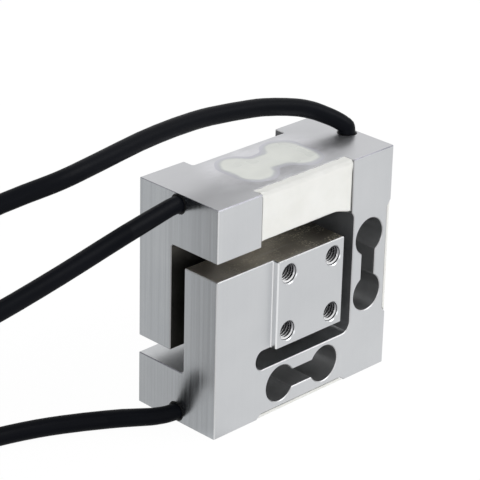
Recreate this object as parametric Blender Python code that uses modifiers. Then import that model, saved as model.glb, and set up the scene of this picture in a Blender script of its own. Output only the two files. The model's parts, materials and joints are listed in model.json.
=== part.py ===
"""Three-axis force sensor: one milled aluminium block whose three bending beams meet at right angles.

The load enters at the front pad and leaves at the rear pad. On its way it passes, one after the other,
the base beam (it bends in Z), the side beam (it bends in X) and the top beam (it bends in Y). Each beam
carries four strain gauges in a pocket that is filled with silicone, and has a cable of its own.

Frame: X to the right along the front face, Y into the depth, Z up. The origin is on the floor, under the
middle of the block. Sizes are in metres.
"""

import math

import bmesh
import bpy
from mathutils import Matrix, Vector

MM = 0.001

# Block
BLOCK_WIDTH = 60.0 * MM
BLOCK_HEIGHT = 60.0 * MM
BLOCK_DEPTH = 26.8 * MM

# Slots that free the two middle blocks
SLOT_WIDTH = 4.65 * MM
SLOT_SQUARE = 32.7 * MM  # outer side of the square that the slots run round
SPLIT_WIDTH = 4.65 * MM  # the slot between the front and the rear half
SPLIT_CORNER = 0.9 * MM

# Mounting pads, one at the front and one at the rear
PAD_STEP = 1.7 * MM
PAD_WIDTH = 23.1 * MM
PAD_CHAMFER = 0.3 * MM
PAD_FILLET = 0.4 * MM
SCREW_SPACING = 15.2 * MM
SCREW_DIAMETER = 5.0 * MM
SCREW_DEPTH = 9.0 * MM
SCREW_CHAMFER = 0.25 * MM
DRILL_TIP_DEPTH = 1.2 * MM

# Round holes that thin each beam to its bending sections
THIN_SECTION = 1.375 * MM  # what a hole leaves of the side and base beams, on either side of it
BONE_SPACING = 15.4 * MM
CHANNEL_SHARE = 0.495  # width of the channel between two holes, as a share of a hole's diameter
TOP_THIN_SECTION = 2.6 * MM
TOP_BONE_WIDTH = 9.7 * MM  # of each long hole in the top beam, in X
TOP_BONE_CHANNEL = 7.8 * MM

# Gauge pockets
POCKET_DEPTH = 1.2 * MM  # side and base
POCKET_LENGTH = 31.2 * MM
POCKET_RAMP = 1.6 * MM
TOP_POCKET_DEPTH = 3.2 * MM  # front and rear of the top beam

# Cables and the bores that they enter
CABLE_DIAMETER = 4.2 * MM
CABLE_CLEARANCE = 0.3 * MM
CABLE_INSET = 2.55 * MM  # from a bore's axis to the face beside it
BORE_REACH = 2.5 * MM  # how far the lower and upper bores run past the near end of their pockets
WIRE_HOLE = 1.6 * MM

# Silicone in the pockets
FIT_GAP = 0.3 * MM
POTTING_RECESS = 0.15 * MM  # below the outer face
TOP_POTTING_RECESS = 0.45 * MM
TOP_POTTING_ROUND = 2.2 * MM

# Strain gauges and their solder terminals
GAUGE_LENGTH = 6.0 * MM
GAUGE_WIDTH = 3.4 * MM
GAUGE_THICKNESS = 0.15 * MM
GAUGE_ROW = 5.2 * MM  # from the middle of a wide beam to each row of gauges
BOND_GAP = 0.15 * MM
TERMINAL_LENGTH = 6.0 * MM
TERMINAL_WIDTH = 3.0 * MM
TERMINAL_THICKNESS = 0.35 * MM

# Sealing rings in the mouths of the cable bores
SEAL_LENGTH = 2.0 * MM
SEAL_CLEARANCE = 0.06 * MM

# Coils: the cables' unseen length, wound, tied and stacked on the floor
COIL_COLUMNS = 4
COIL_ROWS = 4
COIL_MIDDLE_RADIUS = 21.0 * MM
STACK_MIDDLE = (-84.5 * MM, 54.5 * MM)
TIE_THICKNESS = 0.8 * MM
TIE_WIDTH = 2.6 * MM
TIE_GAP = 0.3 * MM
SHIFT_ANGLE = 60  # degrees of turn in which a cable moves over, or comes down beside its coil

# Stripped cable ends
CORE_DIAMETER = 1.1 * MM
CORE_LENGTH = 26.0 * MM
CORE_SPREAD = 4.6 * MM

# Facets
BORE_SIDES = 40
SMALL_SIDES = 24
ARC_STEPS = 16
BEND_STEP = math.radians(9)  # a cable's facets are this far apart where it bends
STRAIGHT_STEP = 18.0 * MM  # and this far where it runs straight

# Values worked out from the sizes above
HALF_WIDTH = BLOCK_WIDTH / 2
HALF_DEPTH = BLOCK_DEPTH / 2
MIDDLE_Z = BLOCK_HEIGHT / 2
SLOT_OUTER = SLOT_SQUARE / 2
SLOT_INNER = SLOT_OUTER - SLOT_WIDTH
SLOT_CENTRE = SLOT_OUTER - SLOT_WIDTH / 2
PAD_MIDDLE_X = SLOT_INNER - PAD_WIDTH / 2
POCKET_FLOOR_X = HALF_WIDTH - POCKET_DEPTH
SIDE_BONE_X = (SLOT_OUTER + POCKET_FLOOR_X) / 2
SIDE_BONE_BORE = POCKET_FLOOR_X - SLOT_OUTER - 2 * THIN_SECTION
BASE_BONE_Z = (POCKET_DEPTH + MIDDLE_Z - SLOT_OUTER) / 2
BASE_BONE_BORE = MIDDLE_Z - SLOT_OUTER - POCKET_DEPTH - 2 * THIN_SECTION
TOP_BEAM_HALF = HALF_DEPTH - TOP_POCKET_DEPTH
TOP_BONE_LENGTH = 2 * (TOP_BEAM_HALF - TOP_THIN_SECTION)
TOP_BEAM_Z = MIDDLE_Z + SLOT_OUTER
TOP_BEAM_MIDDLE_Z = (TOP_BEAM_Z + BLOCK_HEIGHT) / 2
BORE_RADIUS = CABLE_DIAMETER / 2 + CABLE_CLEARANCE
COIL_HALF = COIL_COLUMNS * CABLE_DIAMETER / 2
COIL_HEIGHT = COIL_ROWS * CABLE_DIAMETER
TIE_CLEAR = TIE_THICKNESS + TIE_GAP
COIL_PITCH = COIL_HEIGHT + TIE_CLEAR + TIE_GAP
BESIDE_COIL = COIL_MIDDLE_RADIUS + COIL_HALF + TIE_GAP + CABLE_DIAMETER / 2
BESIDE_TIES = BESIDE_COIL + TIE_CLEAR
BEYOND = 4.0 * MM  # how far a cutter runs past the face that it opens

# Routes of the cables from inside their bores to their coils: points chosen by hand, in millimetres
UPPER_ROUTE = [
    (27.45, 0.0, 52.0), (27.45, 0.0, 60.6), (26.7, 0.55, 62.2), (25.2, 1.9, 63.5), (23.2, 3.5, 64.7),
    (20.0, 5.2, 66.3), (15.6, 6.5, 67.8), (8.5, 7.8, 69.4), (1.0, 8.6, 70.5), (-14.7, 9.0, 72.0),
    (-32.6, 7.2, 72.7), (-50.0, 5.0, 72.1), (-62.1, 4.8, 70.9), (-74.8, 9.8, 67.4), (-87.9, 15.2, 62.2),
    (-99.5, 23.2, 57.8), (-109.8, 33.8, 54.2), (-113.8, 40.1, 52.7),
]
MIDDLE_ROUTE = [
    (-22.0, 0.0, 57.45), (-30.8, 0.0, 57.45), (-36.0, 0.0, 56.7), (-48.0, 0.3, 54.2), (-64.9, 1.5, 49.7),
    (-81.0, 3.2, 45.5), (-93.0, 6.4, 41.9), (-104.2, 15.2, 38.4), (-111.8, 28.4, 35.8), (-115.9, 44.4, 34.4),
]
LOWER_ROUTE = [
    (-22.0, 0.0, 2.55), (-30.8, 0.0, 2.55), (-35.0, 1.9, 2.2), (-39.6, 5.2, 2.1),
    (-48.3, 10.6, 2.1), (-58.5, 15.8, 2.1), (-69.0, 19.5, 2.1), (-79.0, 21.6, 2.1), (-88.9, 22.4, 2.1),
    (-99.3, 25.6, 2.1),
]

# The coils, from the floor up. All are wound clockwise from above. Each has the angle where its cable
# arrives, how far round from there its free end comes to rest, how far it goes on, and where the ties lie,
# in degrees. The free end of the top coil lies on the stack, and the others come down beside it.
COILS = {
    "lower": {"level": 0, "start": 225, "tail": 135, "rest": 30, "ties": (165, 255)},
    "middle": {"level": 1, "start": 170, "tail": 365, "rest": 0, "ties": (80, 225)},
    "upper": {"level": 2, "start": 195, "tail": 294, "rest": 75, "ties": (145, 305)},
}

CORE_COLOURS = {
    "red": (0.55, 0.03, 0.03),
    "black": (0.02, 0.02, 0.02),
    "green": (0.03, 0.30, 0.08),
    "white": (0.80, 0.80, 0.78),
}


def clear_scene():
    """Remove what a new file holds."""
    for thing in list(bpy.data.objects):
        bpy.data.objects.remove(thing, do_unlink=True)


def new_collection(name, hidden=False):
    """Make a collection in the scene."""
    group = bpy.data.collections.new(name)
    bpy.context.scene.collection.children.link(group)
    group.hide_render = hidden
    return group


def new_material(name, colour, roughness, metallic=0.0):
    """Make a plain surface finish."""
    material = bpy.data.materials.new(name)
    material.use_nodes = True
    shader = material.node_tree.nodes["Principled BSDF"]
    shader.inputs["Base Color"].default_value = (*colour, 1.0)
    shader.inputs["Roughness"].default_value = roughness
    shader.inputs["Metallic"].default_value = metallic
    material.diffuse_color = (*colour, 1.0)
    return material


def add_object(name, data, group):
    """Put a mesh or a curve into the scene."""
    thing = bpy.data.objects.new(name, data)
    group.objects.link(thing)
    return thing


def as_cutter(thing):
    """Mark a solid as a cutter."""
    thing.hide_render = True
    thing.display_type = "WIRE"
    return thing


def finish(thing, material, sharp=math.radians(30)):
    """Give a piece its material and smooth its round faces."""
    thing.data.materials.clear()
    thing.data.materials.append(material)
    if thing.type == "MESH":
        thing.data.shade_smooth()
        thing.data.set_sharp_from_angle(angle=sharp)
    return thing


def box(name, low, high, group):
    """A box between two corners."""
    low, high = Vector(low), Vector(high)
    mesh = bpy.data.meshes.new(name)
    body = bmesh.new()
    place = Matrix.Translation((low + high) / 2) @ Matrix.Diagonal((*(high - low), 1.0))
    bmesh.ops.create_cube(body, size=1.0, matrix=place)
    body.to_mesh(mesh)
    body.free()
    return add_object(name, mesh, group)


def axis_turn(axis):
    """The turn that takes Z to the named axis, with X kept where it can be."""
    return {
        "X": Matrix(((0, 0, 1, 0), (1, 0, 0, 0), (0, 1, 0, 0), (0, 0, 0, 1))),
        "Y": Matrix(((1, 0, 0, 0), (0, 0, -1, 0), (0, 1, 0, 0), (0, 0, 0, 1))),
        "Z": Matrix.Identity(4),
    }[axis]


def cylinder(name, centre, radius, length, axis, group, sides=BORE_SIDES):
    """A cylinder round its centre, along the named axis."""
    mesh = bpy.data.meshes.new(name)
    body = bmesh.new()
    place = Matrix.Translation(Vector(centre)) @ axis_turn(axis)
    bmesh.ops.create_cone(
        body, cap_ends=True, segments=sides, radius1=radius, radius2=radius, depth=length, matrix=place
    )
    body.to_mesh(mesh)
    body.free()
    return add_object(name, mesh, group)


def curve_to_mesh(thing, group):
    """Turn a curve object into a closed mesh object of the same name and place."""
    name = thing.name
    seen = thing.evaluated_get(bpy.context.evaluated_depsgraph_get())
    mesh = bpy.data.meshes.new_from_object(seen)
    place = thing.matrix_world.copy()
    bpy.data.objects.remove(thing, do_unlink=True)
    body = bmesh.new()
    body.from_mesh(mesh)
    bmesh.ops.remove_doubles(body, verts=body.verts, dist=0.001 * MM)
    bmesh.ops.recalc_face_normals(body, faces=body.faces)
    body.to_mesh(mesh)
    body.free()
    mesh.name = name
    made = add_object(name, mesh, group)
    made.matrix_world = place
    return made


def outline_solid(name, outlines, axis, low, high, group):
    """A flat outline, with any holes after it, run along an axis from low to high.

    The outline's first number is X and its second is Z for axis Y, Y and Z for axis X, X and Y for axis Z.
    """
    curve = bpy.data.curves.new(name, "CURVE")
    curve.dimensions = "2D"
    curve.fill_mode = "BOTH"
    curve.extrude = (high - low) / 2
    for outline in outlines:
        spline = curve.splines.new("POLY")
        spline.points.add(len(outline) - 1)
        for point, (u, v) in zip(spline.points, outline):
            point.co = (u, v, 0.0, 1.0)
        spline.use_cyclic_u = True
    thing = add_object(name, curve, group)
    middle = (low + high) / 2
    shift = {"X": (middle, 0, 0), "Y": (0, middle, 0), "Z": (0, 0, middle)}[axis]
    thing.matrix_world = Matrix.Translation(shift) @ axis_turn(axis)
    bpy.context.view_layer.update()
    return curve_to_mesh(thing, group)


def arc(centre, radius, start, end, steps=ARC_STEPS):
    """Points along an arc, both ends included. Angles are in degrees."""
    points = []
    for k in range(steps + 1):
        a = math.radians(start + (end - start) * k / steps)
        points.append((centre[0] + radius * math.cos(a), centre[1] + radius * math.sin(a)))
    return points


def rounded_box(low, high, radius, steps=6):
    """Outline of a rectangle with round corners."""
    (u0, v0), (u1, v1) = low, high
    return (
        arc((u1 - radius, v0 + radius), radius, -90, 0, steps)
        + arc((u1 - radius, v1 - radius), radius, 0, 90, steps)
        + arc((u0 + radius, v1 - radius), radius, 90, 180, steps)
        + arc((u0 + radius, v0 + radius), radius, 180, 270, steps)
    )


def obround(start, end, width, steps=ARC_STEPS):
    """Outline of a slot of that width between two centres, on a line along u or v."""
    heading = math.degrees(math.atan2(end[1] - start[1], end[0] - start[0]))
    return arc(end, width / 2, heading - 90, heading + 90, steps) + arc(
        start, width / 2, heading + 90, heading + 270, steps
    )


def bone(centre, spacing, bore, channel, upright=False, length=None):
    """Outline of two round holes joined by a channel. With a length, the holes are slots across the bone."""
    radius = bore / 2
    reach = (length or bore) / 2 - radius  # half of the straight part of a long hole
    inlet = max(channel / 2 - reach, 0.0)
    mouth = math.degrees(math.asin(inlet / radius)) if channel / 2 > reach else 0.0
    half = spacing / 2
    right = arc((half, reach), radius, 180 - mouth, 0) + arc((half, -reach), radius, 0, -180 + mouth)
    if channel / 2 < reach:
        right = [(half - radius, channel / 2)] + right + [(half - radius, -channel / 2)]
    left = [(-u, -v) for u, v in right]
    points = [p for k, p in enumerate(right + left) if math.dist(p, (right + left)[k - 1]) > 0.001 * MM]
    if upright:
        points = [(-v, u) for u, v in points]
    return [(centre[0] + u, centre[1] + v) for u, v in points]


def turned(name, profile, group, sides=SMALL_SIDES, closed=False):
    """A profile of (radius, height) points, from top to bottom down its outer side, turned about Z."""
    mesh = bpy.data.meshes.new(name)
    count = len(profile)
    edges = [(k, k + 1) for k in range(count - 1)]
    if closed:
        edges.append((count - 1, 0))
    mesh.from_pydata([(r, 0.0, h) for r, h in profile], edges, [])
    thing = add_object(name, mesh, group)
    screw = thing.modifiers.new("turn", "SCREW")
    screw.axis = "Z"
    screw.angle = math.radians(360)
    screw.steps = sides
    screw.render_steps = sides
    screw.use_merge_vertices = True
    screw.merge_threshold = 0.002 * MM
    return thing


def cut(target, cutters, keep=False):
    """Take the cutters' solids out of the target."""
    for cutter in cutters:
        step = target.modifiers.new(cutter.name, "BOOLEAN")
        step.operation = "UNION" if keep else "DIFFERENCE"
        step.solver = "EXACT"
        step.object = cutter


def slot_cutters(tools):
    """The square of slots round the middle blocks, and the split between the front and the rear."""
    far, near = SLOT_CENTRE, -SLOT_CENTRE
    runs = {
        "side_slot": ((far, MIDDLE_Z + near), (far, MIDDLE_Z + far)),
        "top_slot": ((near, MIDDLE_Z + far), (far, MIDDLE_Z + far)),
        "base_slot": ((near, MIDDLE_Z + near), (far, MIDDLE_Z + near)),
    }
    made = [
        outline_solid(
            name, [obround(start, end, SLOT_WIDTH)], "Y", -HALF_DEPTH - BEYOND, HALF_DEPTH + BEYOND, tools
        )
        for name, (start, end) in runs.items()
    ]
    half = SPLIT_WIDTH / 2
    out = HALF_DEPTH + BEYOND
    low, high = MIDDLE_Z - SLOT_OUTER, MIDDLE_Z + SLOT_OUTER
    inner_low, inner_high = MIDDLE_Z - SLOT_INNER, MIDDLE_Z + SLOT_INNER
    r = SPLIT_CORNER
    outline = (
        [(-out, high), (-out, inner_high), (-half, inner_high)]
        + arc((-half + r, low + r), r, 180, 270, 5)
        + [(out, low), (out, inner_low), (half, inner_low)]
        + arc((half - r, high - r), r, 0, 90, 5)
    )
    right = SLOT_INNER + SLOT_WIDTH / 3
    made.append(outline_solid("split", [outline], "X", -HALF_WIDTH - BEYOND, right, tools))
    return made


def bone_cutters(tools):
    """The holes that thin the three beams."""
    out = HALF_DEPTH + BEYOND
    side_channel, base_channel = CHANNEL_SHARE * SIDE_BONE_BORE, CHANNEL_SHARE * BASE_BONE_BORE
    side = bone((SIDE_BONE_X, MIDDLE_Z), BONE_SPACING, SIDE_BONE_BORE, side_channel, upright=True)
    base = bone((0.0, BASE_BONE_Z), BONE_SPACING, BASE_BONE_BORE, base_channel)
    top = bone((0.0, 0.0), BONE_SPACING, TOP_BONE_WIDTH, TOP_BONE_CHANNEL, length=TOP_BONE_LENGTH)
    return [
        outline_solid("side_bone", [side], "Y", -out, out, tools),
        outline_solid("base_bone", [base], "Y", -out, out, tools),
        outline_solid("top_bone", [top], "Z", TOP_BEAM_Z - SLOT_WIDTH / 2, BLOCK_HEIGHT + BEYOND, tools),
    ]


def pocket_outline(gap=0.0, recess=None):
    """The side pocket in (depth, length) numbers: depth runs inwards from the outer face.

    Without a recess it is the cutter, which runs past the face. With one it is the silicone in the pocket.
    """
    half = POCKET_LENGTH / 2 - gap
    floor = POCKET_DEPTH - gap
    if recess is None:
        return [(-BEYOND, half), (0.0, half), (floor, half - POCKET_RAMP), (floor, POCKET_RAMP - half),
                (0.0, -half), (-BEYOND, -half)]
    slope = POCKET_RAMP / POCKET_DEPTH
    ends = [(recess, half - slope * recess), (floor, half - slope * floor)]
    return ends + [(depth, -length) for depth, length in reversed(ends)]


def in_side(outline):
    """Pocket numbers as (X, Z) of the side face."""
    return [(HALF_WIDTH - depth, MIDDLE_Z + length) for depth, length in outline]


def in_base(outline):
    """Pocket numbers as (X, Z) of the base."""
    return [(length, depth) for depth, length in outline]


def pocket_cutters(tools):
    """The gauge pockets: side, base, and both faces of the top beam."""
    out = HALF_DEPTH + BEYOND
    half = POCKET_LENGTH / 2
    made = [
        outline_solid("side_pocket", [in_side(pocket_outline())], "Y", -out, out, tools),
        outline_solid("base_pocket", [in_base(pocket_outline())], "Y", -out, out, tools),
    ]
    for name, side in (("front_pocket", -1), ("rear_pocket", 1)):
        y = sorted((side * TOP_BEAM_HALF, side * out))
        low, high = (-half, y[0], TOP_BEAM_Z - SLOT_WIDTH / 2), (half, y[1], BLOCK_HEIGHT + BEYOND)
        made.append(box(name, low, high, tools))
    return made


def passage_cutters(tools):
    """The cables' bores, and the two holes that lead the wires to the top beam's pockets."""
    left = -HALF_WIDTH - BEYOND
    bone_end = -BONE_SPACING / 2
    base_end = BORE_REACH - POCKET_LENGTH / 2
    high = BLOCK_HEIGHT - CABLE_INSET
    side_low = MIDDLE_Z + POCKET_LENGTH / 2 - BORE_REACH
    made = [
        cylinder("middle_bore", ((left + bone_end) / 2, 0, high), BORE_RADIUS, bone_end - left, "X", tools),
        cylinder(
            "lower_bore", ((left + base_end) / 2, 0, CABLE_INSET), BORE_RADIUS, base_end - left, "X", tools
        ),
        cylinder(
            "upper_bore",
            (HALF_WIDTH - CABLE_INSET, 0, (side_low + BLOCK_HEIGHT + BEYOND) / 2),
            BORE_RADIUS,
            BLOCK_HEIGHT + BEYOND - side_low,
            "Z",
            tools,
        ),
        cylinder(
            "wire_hole", (0, 0, TOP_BEAM_MIDDLE_Z), WIRE_HOLE / 2, BLOCK_DEPTH, "Y", tools, SMALL_SIDES
        ),
    ]
    return made


def screw_hole_cutters(tools):
    """Four threaded holes in each pad: the thread's outer diameter, a drill tip and a chamfer."""
    radius = SCREW_DIAMETER / 2
    rim = radius + SCREW_CHAMFER
    profile = [
        (0.0, BEYOND / 4),
        (rim, BEYOND / 4),
        (rim, 0.0),
        (radius, -SCREW_CHAMFER),
        (radius, -SCREW_DEPTH),
        (0.0, -SCREW_DEPTH - DRILL_TIP_DEPTH),
    ]
    made = []
    for face, side in (("front", -1), ("rear", 1)):
        for number, (u, v) in enumerate(((-1, 1), (1, 1), (-1, -1), (1, -1)), start=1):
            hole = turned(f"{face}_screw_hole_{number}", profile, tools, BORE_SIDES)
            x, z = PAD_MIDDLE_X + u * SCREW_SPACING / 2, MIDDLE_Z + v * SCREW_SPACING / 2
            place = (x, side * (HALF_DEPTH + PAD_STEP), z)
            hole.matrix_world = Matrix.Translation(place) @ Matrix.Rotation(-side * math.pi / 2, 4, "X")
            made.append(hole)
    return made


def pad_outline(side):
    """A pad as (X, Y): its free edge has a chamfer and its foot a fillet."""
    left, face = SLOT_INNER - PAD_WIDTH, HALF_DEPTH + PAD_STEP
    outline = (
        [(SLOT_INNER, HALF_DEPTH / 2), (SLOT_INNER, face)]
        + [(left + PAD_CHAMFER, face), (left, face - PAD_CHAMFER)]
        + arc((left - PAD_FILLET, HALF_DEPTH + PAD_FILLET), PAD_FILLET, 0, -90, 5)
        + [(left - PAD_FILLET, HALF_DEPTH / 2)]
    )
    return [(x, side * y) for x, y in outline]


def build_body(parts, tools, material):
    """The flexure block: a billet with two pads, and all that is milled out of it."""
    body = box(
        "flexure_body", (-HALF_WIDTH, -HALF_DEPTH, 0.0), (HALF_WIDTH, HALF_DEPTH, BLOCK_HEIGHT), parts
    )
    low, high = MIDDLE_Z - SLOT_INNER, MIDDLE_Z + SLOT_INNER
    pads = [
        outline_solid(name, [pad_outline(side)], "Z", low, high, tools)
        for name, side in (("front_pad", -1), ("rear_pad", 1))
    ]
    cut(body, pads, keep=True)
    cut(body, slot_cutters(tools))
    cut(body, bone_cutters(tools))
    cut(body, pocket_cutters(tools))
    cut(body, passage_cutters(tools))
    cut(body, screw_hole_cutters(tools))
    return finish(body, material)


def flat_piece(name, centre, normal, along, size, parts, material):
    """A thin rectangle on a pocket's floor: size is its length along an axis, its width and its thickness."""
    length, width, thick = size
    axes = {"X": Vector((1, 0, 0)), "Y": Vector((0, 1, 0)), "Z": Vector((0, 0, 1))}
    n, a = Vector(normal), axes[along]
    b = n.cross(a)
    middle = Vector(centre) + n * (thick / 2)
    half = Vector([abs(n[k]) * thick + abs(a[k]) * length + abs(b[k]) * width for k in range(3)]) / 2
    return finish(box(name, middle - half, middle + half, parts), material)


def gauge_places():
    """Where each strain gauge lies: its beam, name, place, the pocket floor's normal and its long axis."""
    half = BONE_SPACING / 2
    lift = BOND_GAP
    for k, (u, v) in enumerate(((-1, -1), (1, -1), (-1, 1), (1, 1)), start=1):
        z, y = MIDDLE_Z + u * half, v * GAUGE_ROW
        yield "side", f"side_gauge_{k}", (POCKET_FLOOR_X + lift, y, z), (1, 0, 0), "Z"
        yield "base", f"base_gauge_{k}", (u * half, y, POCKET_DEPTH - lift), (0, 0, -1), "X"
        wall = (u * half, v * (TOP_BEAM_HALF + lift), TOP_BEAM_MIDDLE_Z)
        yield "front" if v < 0 else "rear", f"top_gauge_{k}", wall, (0, v, 0), "X"


def terminal_places():
    """Where each bridge's solder terminals lie, in the same order as a gauge's place."""
    end = POCKET_LENGTH / 2 - POCKET_RAMP - TERMINAL_WIDTH
    lift = BOND_GAP
    side = (POCKET_FLOOR_X + lift, 0.0, MIDDLE_Z + end - TERMINAL_WIDTH)
    yield "side", "side_terminals", side, (1, 0, 0), "Y"
    yield "base", "base_terminals", (0.0, 0.0, POCKET_DEPTH - lift), (0, 0, -1), "Y"
    front = (0.0, -TOP_BEAM_HALF - lift, TOP_BEAM_MIDDLE_Z + WIRE_HOLE + TERMINAL_WIDTH / 2)
    yield "front", "top_terminals", front, (0, -1, 0), "X"


def build_gauges(parts, foil, board):
    """The twelve strain gauges and three terminal boards, listed by the pocket that they lie in."""
    found = {}
    for pocket, name, place, normal, along in gauge_places():
        size = (GAUGE_LENGTH, GAUGE_WIDTH, GAUGE_THICKNESS)
        found.setdefault(pocket, []).append(flat_piece(name, place, normal, along, size, parts, foil))
    for pocket, name, place, normal, along in terminal_places():
        size = (TERMINAL_LENGTH, TERMINAL_WIDTH, TERMINAL_THICKNESS)
        found.setdefault(pocket, []).append(flat_piece(name, place, normal, along, size, parts, board))
    return found


def room_for(piece, tools):
    """A cutter round a piece, with the fit gap on every side."""
    bpy.context.view_layer.update()
    corners = [piece.matrix_world @ v.co for v in piece.data.vertices]
    gap = Vector((FIT_GAP, FIT_GAP, FIT_GAP))
    low = Vector([min(c[k] for c in corners) for k in range(3)]) - gap
    high = Vector([max(c[k] for c in corners) for k in range(3)]) + gap
    return box("room_" + piece.name, low, high, tools)


def top_potting_outline(side):
    """The silicone in a top pocket, as (Y, Z): its outer edges are slumped round."""
    inner = TOP_BEAM_HALF + FIT_GAP
    outer = HALF_DEPTH - TOP_POTTING_RECESS
    low, high = TOP_BEAM_Z + FIT_GAP, BLOCK_HEIGHT - FIT_GAP
    r = TOP_POTTING_ROUND
    outline = (
        [(inner, low)]
        + arc((outer - r, low + r), r, -90, 0, 8)
        + arc((outer - r, high - r), r, 0, 90, 8)
        + [(inner, high)]
    )
    return [(side * y, z) for y, z in outline]


def build_potting(parts, tools, held, silicone, gel):
    """The silicone that fills each pocket round its gauges, and the plug in the top beam's hole."""
    out = HALF_DEPTH - FIT_GAP
    half = POCKET_LENGTH / 2 - FIT_GAP
    fills = {
        "side": outline_solid(
            "side_potting", [in_side(pocket_outline(FIT_GAP, POTTING_RECESS))], "Y", -out, out, parts
        ),
        "base": outline_solid(
            "base_potting", [in_base(pocket_outline(FIT_GAP, POTTING_RECESS))], "Y", -out, out, parts
        ),
        "front": outline_solid("front_potting", [top_potting_outline(-1)], "X", -half, half, parts),
        "rear": outline_solid("rear_potting", [top_potting_outline(1)], "X", -half, half, parts),
    }
    for pocket, fill in fills.items():
        cut(fill, [room_for(piece, tools) for piece in held[pocket]])
        finish(fill, silicone)
    shrunk = bone(
        (0.0, 0.0),
        BONE_SPACING,
        TOP_BONE_WIDTH - 2 * FIT_GAP,
        TOP_BONE_CHANNEL - 2 * FIT_GAP,
        length=TOP_BONE_LENGTH - 2 * FIT_GAP,
    )
    plug = outline_solid(
        "top_bone_potting", [shrunk], "Z", TOP_BEAM_Z + FIT_GAP, BLOCK_HEIGHT - FIT_GAP, parts
    )
    finish(plug, gel)


def build_seals(parts, rubber):
    """A sealing ring in the mouth of each cable bore."""
    inner = CABLE_DIAMETER / 2 + SEAL_CLEARANCE
    outer = BORE_RADIUS - SEAL_CLEARANCE
    profile = [(outer, 0.0), (outer, -SEAL_LENGTH), (inner, -SEAL_LENGTH), (inner, 0.0)]
    left = Matrix.Rotation(-math.pi / 2, 4, "Y")
    mouths = {
        "upper_cable_seal": Matrix.Translation((HALF_WIDTH - CABLE_INSET, 0, BLOCK_HEIGHT)),
        "middle_cable_seal": Matrix.Translation((-HALF_WIDTH, 0, BLOCK_HEIGHT - CABLE_INSET)) @ left,
        "lower_cable_seal": Matrix.Translation((-HALF_WIDTH, 0, CABLE_INSET)) @ left,
    }
    for name, place in mouths.items():
        ring = turned(name, profile, parts, BORE_SIDES, closed=True)
        ring.matrix_world = place
        finish(ring, rubber)


def smooth_line(points, step, straight_first=False):
    """A smooth curve through the points, read at even steps along its length.

    With straight_first, the stretch up to the second point stays one straight piece.
    """
    points = [Vector(p) for p in points]
    ends = [points[0] * 2 - points[1]] + points + [points[-1] * 2 - points[-2]]
    fine = []
    for a, b, c, d in zip(ends, ends[1:], ends[2:], ends[3:]):
        for k in range(20):
            t = k / 20
            squared, cubed = 2 * a - 5 * b + 4 * c - d, 3 * b - a - 3 * c + d
            fine.append((2 * b + (c - a) * t + squared * t**2 + cubed * t**3) / 2)
    fine.append(points[-1])
    if straight_first:
        return points[:1] + even_steps(fine[20:], step)
    return even_steps(fine, step)


def thin(line):
    """Leave out the points where a line runs nearly straight; its first two points stay."""
    kept = line[:2]
    for point, after in zip(line[2:], line[3:]):
        bent = (kept[-1] - kept[-2]).angle(after - point) > BEND_STEP
        if bent or (point - kept[-1]).length > STRAIGHT_STEP:
            kept.append(point)
    return kept + line[-1:]


def even_steps(fine, step):
    """Points at even steps along a fine line."""
    total = sum((q - p).length for p, q in zip(fine, fine[1:]))
    count = max(2, round(total / step))
    line, gone, target = [fine[0]], 0.0, total / count
    for p, q in zip(fine, fine[1:]):
        long = (q - p).length
        while gone + long >= target - 1e-9 and len(line) < count:
            line.append(p.lerp(q, (target - gone) / long))
            target += total / count
        gone += long
    line.append(fine[-1])
    return line


def tube(name, line, diameter, group, material, resolution=2):
    """A round cord along a line of points."""
    curve = bpy.data.curves.new(name, "CURVE")
    curve.dimensions = "3D"
    curve.bevel_depth = diameter / 2
    curve.bevel_resolution = resolution
    curve.use_fill_caps = True
    spline = curve.splines.new("POLY")
    spline.points.add(len(line) - 1)
    for point, co in zip(spline.points, line):
        point.co = (*co, 1.0)
    return finish(add_object(name, curve, group), material)


def on_coil(coil, degrees, radius, height):
    """A point of a coil, so many degrees of winding on from the place where the cable arrives."""
    a = math.radians(coil["start"] - degrees)
    return Vector((STACK_MIDDLE[0] + radius * math.cos(a), STACK_MIDDLE[1] + radius * math.sin(a), height))


def coil_base(coil):
    """Height of the underside of a coil's turns."""
    return TIE_CLEAR + coil["level"] * COIL_PITCH


def on_stack(coil):
    """Whether nothing lies on a coil but its own free end."""
    return coil["level"] == len(COILS) - 1


def arriving(coil):
    """Where a route ends: beside its coil, on the floor or level with the top row."""
    height = coil_base(coil) + COIL_HEIGHT - CABLE_DIAMETER / 2 if coil["level"] else CABLE_DIAMETER / 2
    return on_coil(coil, 0, BESIDE_COIL, height)


def leaving(coil):
    """The cable's free end: it lies on the top coil, or comes down beside the stack to the floor."""
    base, rest, tail = coil_base(coil), coil["rest"], coil["tail"]
    if on_stack(coil):
        height = base + COIL_HEIGHT + TIE_GAP + TIE_CLEAR + CABLE_DIAMETER / 2
        return [on_coil(coil, tail + rest * k / 6, COIL_MIDDLE_RADIUS, height) for k in range(7)]
    high = base + (CABLE_DIAMETER / 2 if coil["level"] else COIL_HEIGHT - CABLE_DIAMETER / 2)
    low = CABLE_DIAMETER / 2
    points = []
    for k in range(9):
        degrees = (SHIFT_ANGLE + rest) * k / 8 - SHIFT_ANGLE
        t = min(1.0, degrees / SHIFT_ANGLE + 1)
        height = high + (low - high) * t * t * (3 - 2 * t)
        points.append(on_coil(coil, tail + degrees, BESIDE_TIES, height))
    return points


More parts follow.
